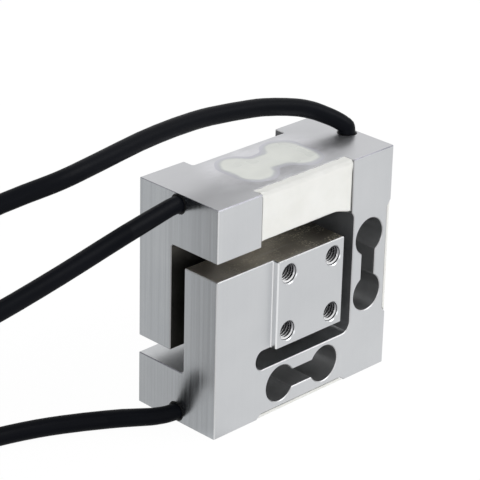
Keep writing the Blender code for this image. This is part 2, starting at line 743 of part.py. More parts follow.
def build_cores(name, line, floor, parts, materials):
    """The four stripped cores at a cable's free end: they fan out and come to rest."""
    end, ahead = line[-1], (line[-1] - line[-2]).normalized()
    across = ahead.cross(Vector((0, 0, 1))).normalized()
    offset = CABLE_DIAMETER / 6
    fan = {"red": (-1, -1, -1.0), "green": (-1, 1, -0.33), "black": (1, 1, 0.33), "white": (1, -1, 1.0)}
    for colour, (u, v, lean) in fan.items():
        points = []
        for k in range(8):
            t = k / 7
            fall = t * t * (3 - 2 * t)
            start = end.z + v * offset
            height = start + (floor + CORE_DIAMETER / 2 - start) * fall
            place = end + ahead * (FIT_GAP + CORE_LENGTH * t)
            place += across * (u * offset + lean * CORE_SPREAD * t)
            points.append(Vector((place.x, place.y, height)))
        tube(f"{name}_core_{colour}", points, CORE_DIAMETER, parts, materials[colour], 1)


def build_tie(name, coil, degrees, parts, material):
    """A band round the coil's bundle of turns."""
    inner = COIL_HALF + TIE_GAP
    outer = inner + TIE_THICKNESS
    middle = coil_base(coil) + COIL_HEIGHT / 2
    loops = [
        rounded_box((-outer, middle - outer), (outer, middle + outer), 2.6 * MM, 4),
        rounded_box((-inner, middle - inner), (inner, middle + inner), 1.8 * MM, 4),
    ]
    band = outline_solid(name, loops, "Y", -TIE_WIDTH / 2, TIE_WIDTH / 2, parts)
    place = on_coil(coil, degrees, COIL_MIDDLE_RADIUS, 0.0)
    turn = math.radians(coil["start"] - degrees)
    band.matrix_world = Matrix.Translation(place) @ Matrix.Rotation(turn, 4, "Z") @ band.matrix_world
    finish(band, material)


def build_cable(name, route, coil, parts, jacket, tie, core_materials):
    """One cable: its run to the coil, the coil, its ties, the free end and the stripped cores."""
    run = [Vector(p) * MM for p in route] + [arriving(coil)]
    line = thin(smooth_line(run, CABLE_DIAMETER / 2, straight_first=True))
    tube(f"{name}_cable", line, CABLE_DIAMETER, parts, jacket)
    round_edge = CABLE_DIAMETER / 2
    inside, outside = COIL_MIDDLE_RADIUS - COIL_HALF, COIL_MIDDLE_RADIUS + COIL_HALF
    outline = rounded_box((inside, 0.0), (outside, COIL_HEIGHT), round_edge, 3)
    ring = turned(f"{name}_cable_coil", outline[::-1], parts, 48, closed=True)
    ring.location = (*STACK_MIDDLE, coil_base(coil))
    finish(ring, jacket)
    for number, degrees in enumerate(coil["ties"], start=1):
        build_tie(f"{name}_coil_tie_{number}", coil, degrees, parts, tie)
    tail = smooth_line(leaving(coil), 2 * CABLE_DIAMETER)
    tube(f"{name}_cable_end", tail, CABLE_DIAMETER, parts, jacket)
    floor = coil_base(coil) + COIL_HEIGHT + TIE_GAP if on_stack(coil) else 0.0
    build_cores(f"{name}_cable", tail, floor, parts, core_materials)


def main():
    """Build the whole sensor."""
    clear_scene()
    parts = new_collection("force_sensor")
    tools = new_collection("cutters", hidden=True)
    aluminium = new_material("milled_aluminium", (0.60, 0.61, 0.62), 0.32, 1.0)
    silicone = new_material("white_silicone", (0.85, 0.85, 0.81), 0.45)
    gel = new_material("clear_silicone", (0.66, 0.68, 0.62), 0.35)
    foil = new_material("gauge_foil", (0.62, 0.40, 0.16), 0.5)
    board = new_material("terminal_board", (0.10, 0.25, 0.12), 0.6)
    jacket = new_material("cable_jacket", (0.012, 0.013, 0.016), 0.42)
    rubber = new_material("bore_sealant", (0.01, 0.01, 0.01), 0.6)
    tie = new_material("tie_band", (0.02, 0.02, 0.02), 0.5)
    cores = {name: new_material(f"core_{name}", colour, 0.45) for name, colour in CORE_COLOURS.items()}

    build_body(parts, tools, aluminium)
    held = build_gauges(parts, foil, board)
    build_potting(parts, tools, held, silicone, gel)
    build_seals(parts, rubber)
    for name, route in (("upper", UPPER_ROUTE), ("middle", MIDDLE_ROUTE), ("lower", LOWER_ROUTE)):
        build_cable(name, route, COILS[name], parts, jacket, tie, cores)
    for thing in tools.objects:
        as_cutter(thing)


main()
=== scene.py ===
"""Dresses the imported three-axis force sensor and sets it in a plain pale studio.

The frame is the CAD model's: X to the right along the front face, Y into the depth, Z up, in metres. The
sensor is one milled aluminium block with silicone in its pockets and three black cables, whose unseen
length lies in tied coils on the floor.
"""

from __future__ import annotations

import json
import logging
import math
from collections.abc import Callable, Iterator, Sequence
from contextlib import contextmanager
from dataclasses import dataclass, field
from enum import Enum
from functools import cached_property

import bmesh
import bpy
from mathutils import Matrix, Vector

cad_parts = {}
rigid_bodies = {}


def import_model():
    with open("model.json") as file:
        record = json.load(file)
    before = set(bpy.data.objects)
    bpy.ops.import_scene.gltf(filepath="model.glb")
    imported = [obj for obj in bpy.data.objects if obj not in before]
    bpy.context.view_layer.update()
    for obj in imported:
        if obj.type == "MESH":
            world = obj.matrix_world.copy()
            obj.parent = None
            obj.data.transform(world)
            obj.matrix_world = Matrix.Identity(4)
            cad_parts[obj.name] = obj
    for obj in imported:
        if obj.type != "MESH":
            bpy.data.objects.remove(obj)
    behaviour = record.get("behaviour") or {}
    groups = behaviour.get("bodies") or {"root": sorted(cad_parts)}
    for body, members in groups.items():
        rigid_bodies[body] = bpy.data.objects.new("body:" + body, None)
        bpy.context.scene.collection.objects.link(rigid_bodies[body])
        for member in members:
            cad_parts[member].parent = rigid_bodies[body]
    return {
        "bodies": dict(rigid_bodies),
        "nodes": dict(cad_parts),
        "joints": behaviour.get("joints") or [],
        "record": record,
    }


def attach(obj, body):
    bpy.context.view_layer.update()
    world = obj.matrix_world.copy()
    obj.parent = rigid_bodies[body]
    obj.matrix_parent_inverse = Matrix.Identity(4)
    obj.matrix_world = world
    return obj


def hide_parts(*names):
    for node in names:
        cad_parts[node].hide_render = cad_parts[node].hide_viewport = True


LOG = logging.getLogger("force_sensor")
MM = 0.001

# Short names for the types that many signatures hold
Thing = bpy.types.Object
Material = bpy.types.Material
Socket = bpy.types.NodeSocket
Pair = tuple[float, float]
Triple = tuple[float, float, float]

# Sizes of the block that the pieces here are fitted to, as in the CAD model
HALF_WIDTH = 30.0 * MM
HALF_DEPTH = 13.4 * MM
BLOCK_HEIGHT = 60.0 * MM
MIDDLE_Z = 30.0 * MM
PAD_FACE = 15.1 * MM
PAD_MIDDLE = 0.15 * MM
HOLE_SPACING = 15.2 * MM
SLOT_OUTER = 16.35 * MM
SLOT_INNER = 11.7 * MM
CABLE_DIAMETER = 4.2 * MM

# How a copied solid is cleaned: points nearer than this become one, and so do faces that turn by less
DOUBLES = 0.002 * MM
FLAT_ANGLE = 0.3

WHITE = (1.0, 1.0, 1.0)


class Slot(Enum):
    """The record's material slots."""

    ALUMINIUM = "milled_aluminium"
    SILICONE = "white_silicone"
    GEL = "clear_silicone"
    JACKET = "cable_jacket"
    RED = "core_red"
    BLACK = "core_black"
    GREEN = "core_green"
    WHITE = "core_white"


class Winding(Enum):
    """How a coil is filled: along its rows from the floor up, from the top down, or column by column."""

    ROWS_UP = "rows from the bottom"
    ROWS_DOWN = "rows from the top"
    COLUMNS_IN = "columns from the outside"


# Tools


def eased(share: float) -> float:
    """A share held between 0 and 1 that starts and ends softly."""
    t = min(1.0, max(0.0, share))
    return t * t * (3 - 2 * t)


def length_of(line: Sequence[Vector]) -> float:
    """The length of a line of points."""
    return sum((b - a).length for a, b in zip(line, line[1:]))


def deselect_all() -> None:
    """Leave nothing selected."""
    bpy.context.view_layer.update()
    bpy.ops.object.select_all(action="DESELECT")


def activate(thing: Thing) -> Thing:
    """Select one object alone and make it the active one.

    Args:
        thing: the object to work on.

    Returns:
        The same object.
    """
    deselect_all()
    thing.hide_viewport = False
    thing.select_set(True)
    bpy.context.view_layer.objects.active = thing
    return thing


def linked(name: str, data: bpy.types.ID) -> Thing:
    """Put a new object into the scene.

    Args:
        name: the object's name, and its data's.
        data: its mesh, curve, lamp or camera.

    Returns:
        The object.
    """
    data.name = name
    thing = bpy.data.objects.new(name, data)
    bpy.context.scene.collection.objects.link(thing)
    return thing


def named(name: str) -> Thing:
    """Name the primitive that was just added.

    Args:
        name: the object's name, and its mesh's.

    Returns:
        The object.
    """
    thing = bpy.context.active_object
    thing.name = thing.data.name = name
    return thing


@contextmanager
def edit_mode() -> Iterator[None]:
    """Work on the active mesh in edit mode, with all of it selected at the start.

    Yields:
        Nothing, once edit mode is on.
    """
    bpy.ops.object.mode_set(mode="EDIT")
    bpy.ops.mesh.select_all(action="SELECT")
    yield
    bpy.ops.object.mode_set(mode="OBJECT")


def modify(thing: Thing, kind: str, **settings: object) -> None:
    """Give a mesh one modifier and apply it.

    Args:
        thing: the mesh object.
        kind: the modifier's type.
        settings: the modifier's settings.
    """
    modifier = thing.modifiers.new(kind.lower(), kind)
    for key, value in settings.items():
        setattr(modifier, key, value)
    activate(thing)
    bpy.ops.object.modifier_apply(modifier=modifier.name)


def apply_place(thing: Thing) -> None:
    """Move an object's place, turn and scale into its mesh."""
    activate(thing)
    bpy.ops.object.transform_apply(location=True, rotation=True, scale=True)


def edit_mesh(thing: Thing, work: Callable[[bmesh.types.BMesh], None]) -> None:
    """Run some work on a mesh object's BMesh.

    Args:
        thing: the mesh object.
        work: what is done to its BMesh.
    """
    mesh = bmesh.new()
    mesh.from_mesh(thing.data)
    work(mesh)
    mesh.to_mesh(thing.data)
    mesh.free()


def smooth_by_angle(thing: Thing, degrees: float) -> None:
    """Shade an object smooth, with edges sharper than an angle kept sharp."""
    activate(thing)
    bpy.ops.object.shade_smooth_by_angle(angle=math.radians(degrees))


def paint(thing: Thing, *materials: Material) -> Thing:
    """Give an object its materials in place of those it has.

    Args:
        thing: the object.
        materials: its new materials, in order.

    Returns:
        The same object.
    """
    thing.data.materials.clear()
    for material in materials:
        thing.data.materials.append(material)
    return thing


def settle(piece: Thing, slot: Slot, *replaced: str) -> None:
    """Args:
        piece: the finished piece.
        slot: the record's material slot.
        replaced: CAD nodes that the piece stands for.
    """
    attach(piece, "root")
    if replaced:
        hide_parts(*replaced)
    LOG.info("%s: %s, stands for %s", piece.name, slot.value, ", ".join(replaced) or "nothing")


def copy_node(frame: dict, node: str, name: str) -> Thing:
    """Copy a CAD node's mesh into a new piece, with its doubled points merged.

    Args:
        node: the CAD node.
        name: the new piece's name.

    Returns:
        The new piece.
    """
    piece = activate(linked(name, frame["nodes"][node].data.copy()))
    with edit_mode():
        bpy.ops.mesh.customdata_custom_splitnormals_clear()
        bpy.ops.mesh.remove_doubles(threshold=DOUBLES)
        bpy.ops.mesh.dissolve_limited(angle_limit=math.radians(FLAT_ANGLE))
    return piece


# Finishes


class Nodes:
    """A short way to lay out the nodes of one material or world."""

    def __init__(self, owner: Material | bpy.types.World) -> None:
        """Start with the nodes that a new material or world has.

        Args:
            owner: the material or world.
        """
        owner.use_nodes = True
        self.owner = owner
        self.tree = owner.node_tree

    @cached_property
    def coords(self) -> Socket:
        """Object coordinates, in metres."""
        return self.node("TexCoord").outputs["Object"]

    def feed(self, socket: Socket, value: object) -> None:
        """Link an input, or set it to a constant.

        Args:
            socket: the input.
            value: the output that feeds it, or a number, colour or vector.
        """
        if isinstance(value, Socket):
            self.tree.links.new(value, socket)
        elif socket.type == "RGBA":
            socket.default_value = (*value, 1.0)
        else:
            socket.default_value = value

    def node(self, kind: str, links: dict | None = None, **values: object) -> bpy.types.Node:
        """Add a node.

        Args:
            kind: its type name, without ShaderNode.
            links: socket name or number to what feeds it.
            values: the node's own settings.

        Returns:
            The node.
        """
        made = self.tree.nodes.new("ShaderNode" + kind)
        for key, value in values.items():
            setattr(made, key, value)
        for key, value in (links or {}).items():
            self.feed(made.inputs[key], value)
        return made

    def axis(self, name: str) -> Socket:
        """One of the object coordinates."""
        return self.node("SeparateXYZ", {"Vector": self.coords}).outputs[name]

    def stored(self, name: str) -> Socket:
        """A value that the mesh's points hold."""
        return self.node("Attribute", attribute_name=name).outputs["Fac"]

    def math(self, operation: str, *values: float | Socket) -> Socket:
        """The result of one operation on numbers."""
        return self.node("Math", dict(enumerate(values)), operation=operation).outputs[0]

    def noise(
        self,
        scale: float,
        detail: float = 3.0,
        roughness: float = 0.55,
        stretch: Triple = (1.0, 1.0, 1.0),
        turn: float = 0.0,
    ) -> Socket:
        """A noise value from 0 to 1 over the object coordinates.

        Args:
            scale: waves per metre.
            detail: how many finer noises are added to the first.
            roughness: how strong the finer ones are.
            stretch: how dense the waves are along each axis; less than 1 draws them out.
            turn: how far they are turned about Z, in radians.

        Returns:
            The value.
        """
        links = {"Vector": self.coords, "Scale": stretch, "Rotation": (0.0, 0.0, turn)}
        place = self.node("Mapping", links).outputs["Vector"]
        links = {"Vector": place, "Scale": scale, "Detail": detail, "Roughness": roughness}
        return self.node("TexNoise", links).outputs["Fac"]

    def ramp(self, value: Socket, *stops: tuple[float, Triple]) -> Socket:
        """Colours along a value.

        Args:
            value: the value from 0 to 1.
            stops: places and their colours.

        Returns:
            The colour.
        """
        made = self.node("ValToRGB", {"Fac": value})
        band = made.color_ramp
        while len(band.elements) < len(stops):
            band.elements.new(0.5)
        for element, (place, colour) in zip(band.elements, stops):
            element.position = place
            element.color = (*colour, 1.0)
        return made.outputs["Color"]

    def blend(self, share: object, first: object, second: object, mode: str = "MIX") -> Socket:
        """Two colours mixed, by a share of the second, or one laid over the other."""
        links = {0: share, 6: first, 7: second}
        return self.node("Mix", links, data_type="RGBA", blend_type=mode).outputs[2]

    def graded(self, value: Socket, start: float, end: float, low: float, high: float) -> Socket:
        """A level that goes smoothly from low to high while a value goes from start to end."""
        links = {"Value": value, "From Min": start, "From Max": end, "To Min": low, "To Max": high}
        return self.node("MapRange", links, interpolation_type="SMOOTHSTEP").outputs["Result"]

    def step(self, value: Socket, start: float, end: float) -> Socket:
        """0 before the start, 1 past the end, smooth between."""
        return self.graded(value, start, end, 0.0, 1.0)

    def spread(self, noise: Socket, middle: float, swing: float) -> Socket:
        """A noise's usual values spread evenly round a middle.

        Args:
            noise: a noise, whose usual values are 0.3 to 0.7.
            middle: the level in the middle.
            swing: how far the levels go to either side.

        Returns:
            The level.
        """
        links = {"Value": noise, "From Min": 0.3, "From Max": 0.7}
        links |= {"To Min": middle - swing, "To Max": middle + swing}
        return self.node("MapRange", links).outputs["Result"]

    def bump(self, height: Socket, depth: float, strength: float = 1.0) -> Socket:
        """A bump of a depth in metres."""
        links = {"Height": height, "Distance": depth, "Strength": strength}
        return self.node("Bump", links).outputs["Normal"]

    def glow(self, strength: Socket) -> Socket:
        """White light of a strength."""
        return self.node("Emission", {"Color": WHITE, "Strength": strength}).outputs[0]

    def dress(self, sockets: dict[str, object]) -> Material:
        """Feed the principled shader.

        Args:
            sockets: names of its inputs and what feeds them.

        Returns:
            The material.
        """
        shader = self.tree.nodes["Principled BSDF"]
        for name, value in sockets.items():
            self.feed(shader.inputs[name], value)
        return self.owner

    def show(self, surface: Socket) -> Material:
        """Show an output as the material's surface."""
        self.feed(self.tree.nodes["Material Output"].inputs["Surface"], surface)
        return self.owner


@dataclass(frozen=True)
class Finish:
    """A finish: its name, and what each kind of finish feeds the shader."""

    name: str

    def sockets(self, kit: Nodes) -> dict[str, object]:
        """Names of the shader's inputs and what feeds them. Each kind of finish has its own."""
        raise NotImplementedError

    def build(self) -> Material:
        """Make the material."""
        kit = Nodes(bpy.data.materials.new(self.name))
        return kit.dress(self.sockets(kit))


@dataclass(frozen=True)
class MilledAluminium(Finish):
    """Satin aluminium with upright lines from the cutter and soft clouds."""

    name: str = "satin_aluminium"
    dark: Triple = (0.615, 0.628, 0.645)
    pale: Triple = (0.665, 0.677, 0.692)
    roughness: float = 0.34
    streak: float = 0.008
    line_depth: float = 0.0012 * MM

    def sockets(self, kit: Nodes) -> dict[str, object]:
        """Clouds, with lines laid over their colour, gloss and height.

        Args:
            kit: the material's nodes.

        Returns:
            What feeds the shader.
        """
        fine = kit.noise(2600.0, 2.0, stretch=(1.0, 1.0, 0.02))
        broad = kit.noise(900.0, 3.0, 0.7, stretch=(1.0, 1.0, 0.012))
        cloud = kit.noise(45.0, 4.0)
        tint = kit.ramp(cloud, (0.3, self.dark), (0.7, self.pale))
        lines = kit.ramp(broad, (0.38, (1.0 - 2 * self.streak,) * 3), (0.6, WHITE))
        return {
            "Base Color": kit.blend(1.0, tint, lines, "MULTIPLY"),
            "Metallic": 1.0,
            "Roughness": kit.spread(broad, self.roughness, 0.05),
            "Normal": kit.bump(fine, self.line_depth),
        }


@dataclass(frozen=True)
class SmearedAluminiumPaintedLight(Finish):
    """The top of the block: satin metal with thin clouded smears of gel wiped off it. The smears are painted
    paler than the residue, as painted light that lifts the dark reflections on the top.
    """

    name: str = "smeared_aluminium_painted_light"
    clean: Triple = (0.640, 0.645, 0.665)
    # Partly gel residue, partly painted light: paler than residue, to lift the dark reflections on the top
    smeared: Triple = (0.860, 0.860, 0.895)
    smear_reach: Pair = (19.0 * MM, 12.0 * MM)
    fade: Pair = (1.25, 0.75)
    roughness: float = 0.36
    grain_depth: float = 0.001 * MM

    def sockets(self, kit: Nodes) -> dict[str, object]:
        """Smears that fade with the distance from the hole, as a share of their reach along X and Y.

        Args:
            kit: the material's nodes.

        Returns:
            What feeds the shader.
        """
        cloud = kit.noise(95.0, 5.0, 0.6, stretch=(1.0, 1.6, 1.0))
        reaches = zip("XY", self.smear_reach)
        shares = {axis: kit.math("DIVIDE", kit.axis(axis), reach) for axis, reach in reaches}
        flat = kit.node("CombineXYZ", shares).outputs[0]
        away = kit.node("VectorMath", {0: flat}, operation="LENGTH").outputs["Value"]
        patch = kit.math("MULTIPLY", kit.step(away, *self.fade), kit.step(cloud, 0.25, 0.75))
        grain = kit.noise(2200.0, 2.0, stretch=(0.05, 1.0, 1.0))
        return {
            "Base Color": kit.blend(patch, self.clean, self.smeared),
            "Metallic": 1.0,
            "Roughness": kit.spread(cloud, self.roughness, 0.06),
            "Normal": kit.bump(grain, self.grain_depth),
        }


@dataclass(frozen=True)
class ThreadPaintedLight(Finish):
    """The flanks of a thread, with painted shade under the crown of the hole and a painted highlight at its
    foot.
    """

    name: str = "thread_ridge_painted_light"
    painted_shade: Triple = (0.16, 0.16, 0.17)
    middling: Triple = (0.42, 0.42, 0.44)
    painted_highlight: Triple = (0.92, 0.92, 0.93)
    roughness: float = 0.25
    grain_depth: float = 0.002 * MM

    def sockets(self, kit: Nodes) -> dict[str, object]:
        """Three greys down the hole's wall: painted shade, a middle grey and a painted highlight.

        Args:
            kit: the material's nodes.

        Returns:
            What feeds the shader.
        """
        grain = kit.noise(2600.0, 2.0)
        down = kit.stored("down_wall")
        return {
            # Painted shade at each hole's crown, a middle grey, and a painted highlight at its foot
            "Base Color": kit.ramp(down, (0.2, self.painted_shade), (0.55, self.middling), (0.85, self.painted_highlight)),
            "Metallic": 1.0,
            "Roughness": kit.spread(grain, self.roughness, 0.05),
            "Normal": kit.bump(grain, self.grain_depth),
        }


@dataclass(frozen=True)
class CutWall(Finish):
    """A wall inside a slot or hole: duller and rougher than the milled faces, and darker, which is painted
    shade.

    It may darken along X between two places, more painted shade, and it may have scratches and pale specks.
    """

    name: str = "cut_wall"
    # Dark tones that stand in for the shade inside hollows: painted shade
    dark: Triple = (0.118, 0.122, 0.127)
    pale: Triple = (0.178, 0.182, 0.188)
    roughness: float = 0.48
    grain_depth: float = 0.012 * MM
    metallic: float = 1.0
    painted_shade: Triple | None = None
    painted_shade_from: Pair = (-10.0 * MM, 12.0 * MM)
    scratches: float = 0.0
    scratch: Triple = (0.85, 0.83, 0.80)
    speck: Triple = (0.90, 0.84, 0.72)

    def sockets(self, kit: Nodes) -> dict[str, object]:
        """Clouds, and the shade and marks over them.

        Args:
            kit: the material's nodes.

        Returns:
            What feeds the shader.
        """
        grain = kit.noise(1900.0, 3.0)
        colour = kit.ramp(kit.noise(110.0, 4.0), (0.32, self.dark), (0.68, self.pale))
        # Painted shade: the colour darkens along X between two places
        if self.painted_shade:
            colour = kit.blend(kit.step(kit.axis("X"), *self.painted_shade_from), colour, self.painted_shade)
        if self.scratches:
            for turn, scale in ((0.5, 800.0), (-0.35, 1300.0)):
                mark = kit.step(kit.noise(scale, 2.0, stretch=(0.04, 1.0, 1.0), turn=turn), 0.60, 0.70)
                colour = kit.blend(kit.math("MULTIPLY", mark, self.scratches), colour, self.scratch)
            speckle = kit.step(kit.noise(2600.0, 2.0), 0.52, 0.62)
            patch = kit.step(kit.noise(240.0, 2.0), 0.42, 0.6)
            colour = kit.blend(kit.math("MULTIPLY", speckle, patch), colour, self.speck)
        return {
            "Base Color": colour,
            "Metallic": self.metallic,
            "Roughness": kit.spread(grain, self.roughness, 0.08),
            "Normal": kit.bump(grain, self.grain_depth, 0.6),
        }


@dataclass(frozen=True)
class Silicone(Finish):
    """Cast silicone: nearly flat colour, soft light within, a slightly uneven skin."""

    name: str = "white_silicone"
    dark: Triple = (0.84, 0.84, 0.80)
    pale: Triple = (0.90, 0.90, 0.87)
    roughness: float = 0.53
    inner_light: float = 0.0006
    inner_tint: Triple = (1.0, 0.95, 0.90)
    skin_depth: float = 0.05 * MM

    def sockets(self, kit: Nodes) -> dict[str, object]:
        """Clouds, light within and the skin's waves.

        Args:
            kit: the material's nodes.

        Returns:
            What feeds the shader.
        """
        cloud = kit.noise(130.0, 3.0)
        return {
            "Base Color": kit.ramp(cloud, (0.3, self.dark), (0.7, self.pale)),
            "Roughness": kit.spread(cloud, self.roughness, 0.05),
            "Subsurface Weight": 0.15,
            "Subsurface Scale": self.inner_light,
            "Subsurface Radius": self.inner_tint,
            "Normal": kit.bump(kit.noise(320.0, 2.0), self.skin_depth, 0.5),
        }


@dataclass(frozen=True)
class Gel(Finish):
    """Clear silicone over metal: milky inside the rim, thinning to smeared metal past it.

    The places of the ring and of the smear are on the scale that the film's points hold: 0.5 at the rim,
    more outside it.
    """

    name: str = "clear_silicone"
    milky: Triple = (0.87, 0.89, 0.84)
    cloudy: Triple = (0.80, 0.82, 0.78)
    ring: Triple = (0.62, 0.64, 0.65)
    smear: Triple = (0.70, 0.70, 0.75)
    ring_from: Pair = (0.26, 0.52)
    smear_from: Pair = (0.36, 0.74)
    roughness: float = 0.31
    smear_duller: float = 0.2
    skin_depth: float = 0.012 * MM

    def sockets(self, kit: Nodes) -> dict[str, object]:
        """Milky clouds, a grey ring and the smear, one after the other across an uneven rim.

        Args:
            kit: the material's nodes.

        Returns:
            What feeds the shader.
        """
        cloud = kit.noise(150.0, 1.0)
        uneven = kit.spread(kit.noise(260.0, 2.0), 0.0, 0.05)
        rim = kit.math("ADD", kit.stored("from_rim"), uneven)
        inside = kit.ramp(cloud, (0.3, self.cloudy), (0.62, self.milky))
        ringed = kit.blend(kit.step(rim, *self.ring_from), inside, self.ring)
        past = kit.step(rim, *self.smear_from)
        dull = kit.spread(cloud, self.roughness, 0.05)
        return {
            "Base Color": kit.blend(past, ringed, self.smear),
            "Metallic": past,
            "Roughness": kit.math("MULTIPLY_ADD", past, self.smear_duller, dull),
            "Normal": kit.bump(cloud, self.skin_depth, 0.5),
        }


@dataclass(frozen=True)
class Plastic(Finish):
    """Moulded or drawn plastic with a faint grain, or with metallic 1 a plain metal."""

    name: str
    colour: Triple
    roughness: float = 0.42
    grain: float = 900.0
    metallic: float = 0.0
    shine: float = 0.5
    clouds: float = 0.12
    grain_depth: float = 0.01 * MM

    def sockets(self, kit: Nodes) -> dict[str, object]:
        """Faint clouds and the grain.

        Args:
            kit: the material's nodes.

        Returns:
            What feeds the shader.
        """
        grain = kit.noise(self.grain, 2.0)
        low = tuple((1.0 - self.clouds) * c for c in self.colour)
        high = tuple(min(1.0, (1.0 + self.clouds) * c) for c in self.colour)
        return {
            "Base Color": kit.ramp(kit.noise(60.0, 3.0), (0.3, low), (0.7, high)),
            "Metallic": self.metallic,
            "Roughness": kit.spread(grain, self.roughness, 0.05),
            "Specular IOR Level": self.shine,
            "Normal": kit.bump(grain, self.grain_depth, 0.4),
        }


# Cables


@dataclass(frozen=True)
class Coil:
    """A cable's unseen length, wound clockwise four turns wide and four high, one of a stack of three.

    Angles are degrees of winding, counted from the place where the cable arrives beside the stack.
    """

    level: int
    start: float
    tail: float
    rest: float
    winding: Winding
    middle: Pair = (-84.5 * MM, 54.5 * MM)
    middle_radius: float = 21.0 * MM
    gap: float = 0.3 * MM
    tie: float = 0.8 * MM
    count: int = 4
    shift: float = 60.0

    def base(self) -> float:
        """Height of the underside of the turns."""
        return self.clear() + self.level * (self.height() + self.clear() + self.gap)

    def height(self) -> float:
        """Height of the bundle of turns."""
        return self.count * CABLE_DIAMETER

    def clear(self) -> float:
        """The room that a tie takes on one side of the bundle."""
        return self.tie + self.gap

    def beside(self) -> float:
        """Radius of a cable that runs beside the bundle."""
        return self.middle_radius + (self.count + 1) / 2 * CABLE_DIAMETER + self.gap

    def cell(self, column: int, row: int) -> Pair:
        """Radius and height of one turn, with columns counted outwards and rows upwards."""
        radius = self.middle_radius + (column - (self.count - 1) / 2) * CABLE_DIAMETER
        return radius, self.base() + (row + 0.5) * CABLE_DIAMETER

    def point(self, degrees: float, radius: float, height: float) -> Vector:
        """A point of the coil."""
        a = math.radians(self.start - degrees)
        return Vector((self.middle[0] + radius * math.cos(a), self.middle[1] + radius * math.sin(a), height))

    def lane(self) -> float:
        """Height of the cable where it arrives beside the stack."""
        return CABLE_DIAMETER / 2 if self.level == 0 else self.cell(0, self.count - 1)[1]

    def arriving(self) -> Vector:
        """Where the cable's route ends and its winding starts."""
        return self.point(0.0, self.beside(), self.lane())

    def cells(self) -> list[Pair]:
        """The turns in the order in which they are wound: to and fro, from an outer corner.

        Returns:
            Radius and height of each turn.
        """
        steps = list(range(self.count))
        back = steps[::-1]
        found = []
        for k in steps:
            inner = back if k % 2 == 0 else steps
            if self.winding is Winding.COLUMNS_IN:
                found += [self.cell(back[k], row) for row in inner]
            else:
                row = k if self.winding is Winding.ROWS_UP else back[k]
                found += [self.cell(column, row) for column in inner]
        return found

    def ending(self) -> list[Pair]:
        """The two places that the free end comes to, one after the other.

        Returns:
            Radius and height of each.
        """
        if self.winding is Winding.COLUMNS_IN:
            above = self.base() + self.height() + self.gap + self.clear() + CABLE_DIAMETER / 2
            return [(self.cell(0, 0)[0], above), (self.middle_radius, above)]
        outside = self.beside() + self.clear()
        return [(outside, self.cells()[-1][1]), (outside, CABLE_DIAMETER / 2)]

    def sections(self) -> list[Pair]:
        """Radius and height of each turn in order, the arrival and the free end included."""
        return [(self.beside(), self.lane()), *self.cells(), *self.ending()]

    def shifts(self) -> list[float]:
        """The angle where the cable starts to move from each section to the next.

        Returns:
            The angles in degrees.
        """
        starts, was_sideways = [0.0], True
        cells = self.cells()
        for before, after in zip(cells, cells[1:]):
            sideways = abs(after[0] - before[0]) > abs(after[1] - before[1])
            starts.append(starts[-1] + 360.0 - (self.shift if sideways != was_sideways else 0.0))
            was_sideways = sideways
        closing = len(self.ending())
        first_end = starts[-1] + self.shift * (1 + closing)
        end = self.tail + 360.0 * math.ceil((first_end - self.tail) / 360.0)
        return starts + [end - self.shift * k for k in range(closing, 0, -1)]

    def wound(self, step: float = 10.0) -> list[Vector]:
        """Points round all the turns and along the free end, after the arrival.

        Args:
            step: the angle between points, in degrees.

        Returns:
            The points.
        """
        sections, starts = self.sections(), self.shifts()
        end = starts[-1] + self.shift + self.rest
        points = []
        for k in range(1, int(end / step) + 1):
            angle = k * step
            place = sum(start <= angle for start in starts)
            t = eased((angle - starts[place - 1]) / self.shift)
            (r0, h0), (r1, h1) = sections[place - 1], sections[place]
            points.append(self.point(angle, r0 + (r1 - r0) * t, h0 + (h1 - h0) * t))
        if end % step > 0.5:
            points.append(self.point(end, *sections[-1]))
        return points

    def floor(self) -> float:
        """What the stripped cores come to rest on."""
        return self.base() + self.height() + self.gap if self.winding is Winding.COLUMNS_IN else 0.0


def smooth_line(points: Sequence[Vector], parts: int = 20) -> list[Vector]:
    """A smooth curve through points, with its first stretch left straight.

    Args:
        points: the points that it passes.
        parts: how many pieces each stretch is cut into.

    Returns:
        Close points along the curve.
    """
    ends = [points[0] * 2 - points[1], *points, points[-1] * 2 - points[-2]]
    fine: list[Vector] = []
    for a, b, c, d in zip(ends, ends[1:], ends[2:], ends[3:]):
        for k in range(parts):
            t = k / parts
            squared, cubed = 2 * a - 5 * b + 4 * c - d, 3 * b - a - 3 * c + d
            fine.append((2 * b + (c - a) * t + squared * t**2 + cubed * t**3) / 2)
    fine.append(points[-1])
    return [points[0], *fine[parts:]]


def thinned(
    line: Sequence[Vector], bend: float = 3.5, least: float = 0.3 * MM, most: float = 6.0 * MM
) -> list[Vector]:
    """Leave out the points where a line runs nearly straight.

    Args:
        line: close points along the line.
        bend: the turn in degrees past which a point stays.
        least: the length from the last point within which none stays.
        most: the length from the last point past which one stays.

    Returns:
        The points that stay.
    """
    kept = list(line[:2])
    for point, after in zip(line[2:], line[3:]):
        far = (point - kept[-1]).length
        if far < least:
            continue
        bent = (kept[-1] - kept[-2]).angle(after - point) > math.radians(bend)
        if bent or far > most:
            kept.append(point)
    return [*kept, line[-1]]


def cord_curve(name: str, line: Sequence[Vector], diameter: float, sides: int = 4) -> Thing:
    """A round cord as a curve along a line of points.

    Args:
        name: the curve's name.
        line: its points.
        diameter: its thickness.
        sides: the bevel's resolution.

    Returns:
        The curve object.
    """
    curve = bpy.data.curves.new(name, "CURVE")
    curve.dimensions = "3D"
    curve.bevel_depth = diameter / 2
    curve.bevel_resolution = sides
    curve.use_fill_caps = True
    spline = curve.splines.new("POLY")
    spline.points.add(len(line) - 1)
    for point, place in zip(spline.points, line):
        point.co = (*place, 1.0)
    spline.use_smooth = True
    return linked(name, curve)


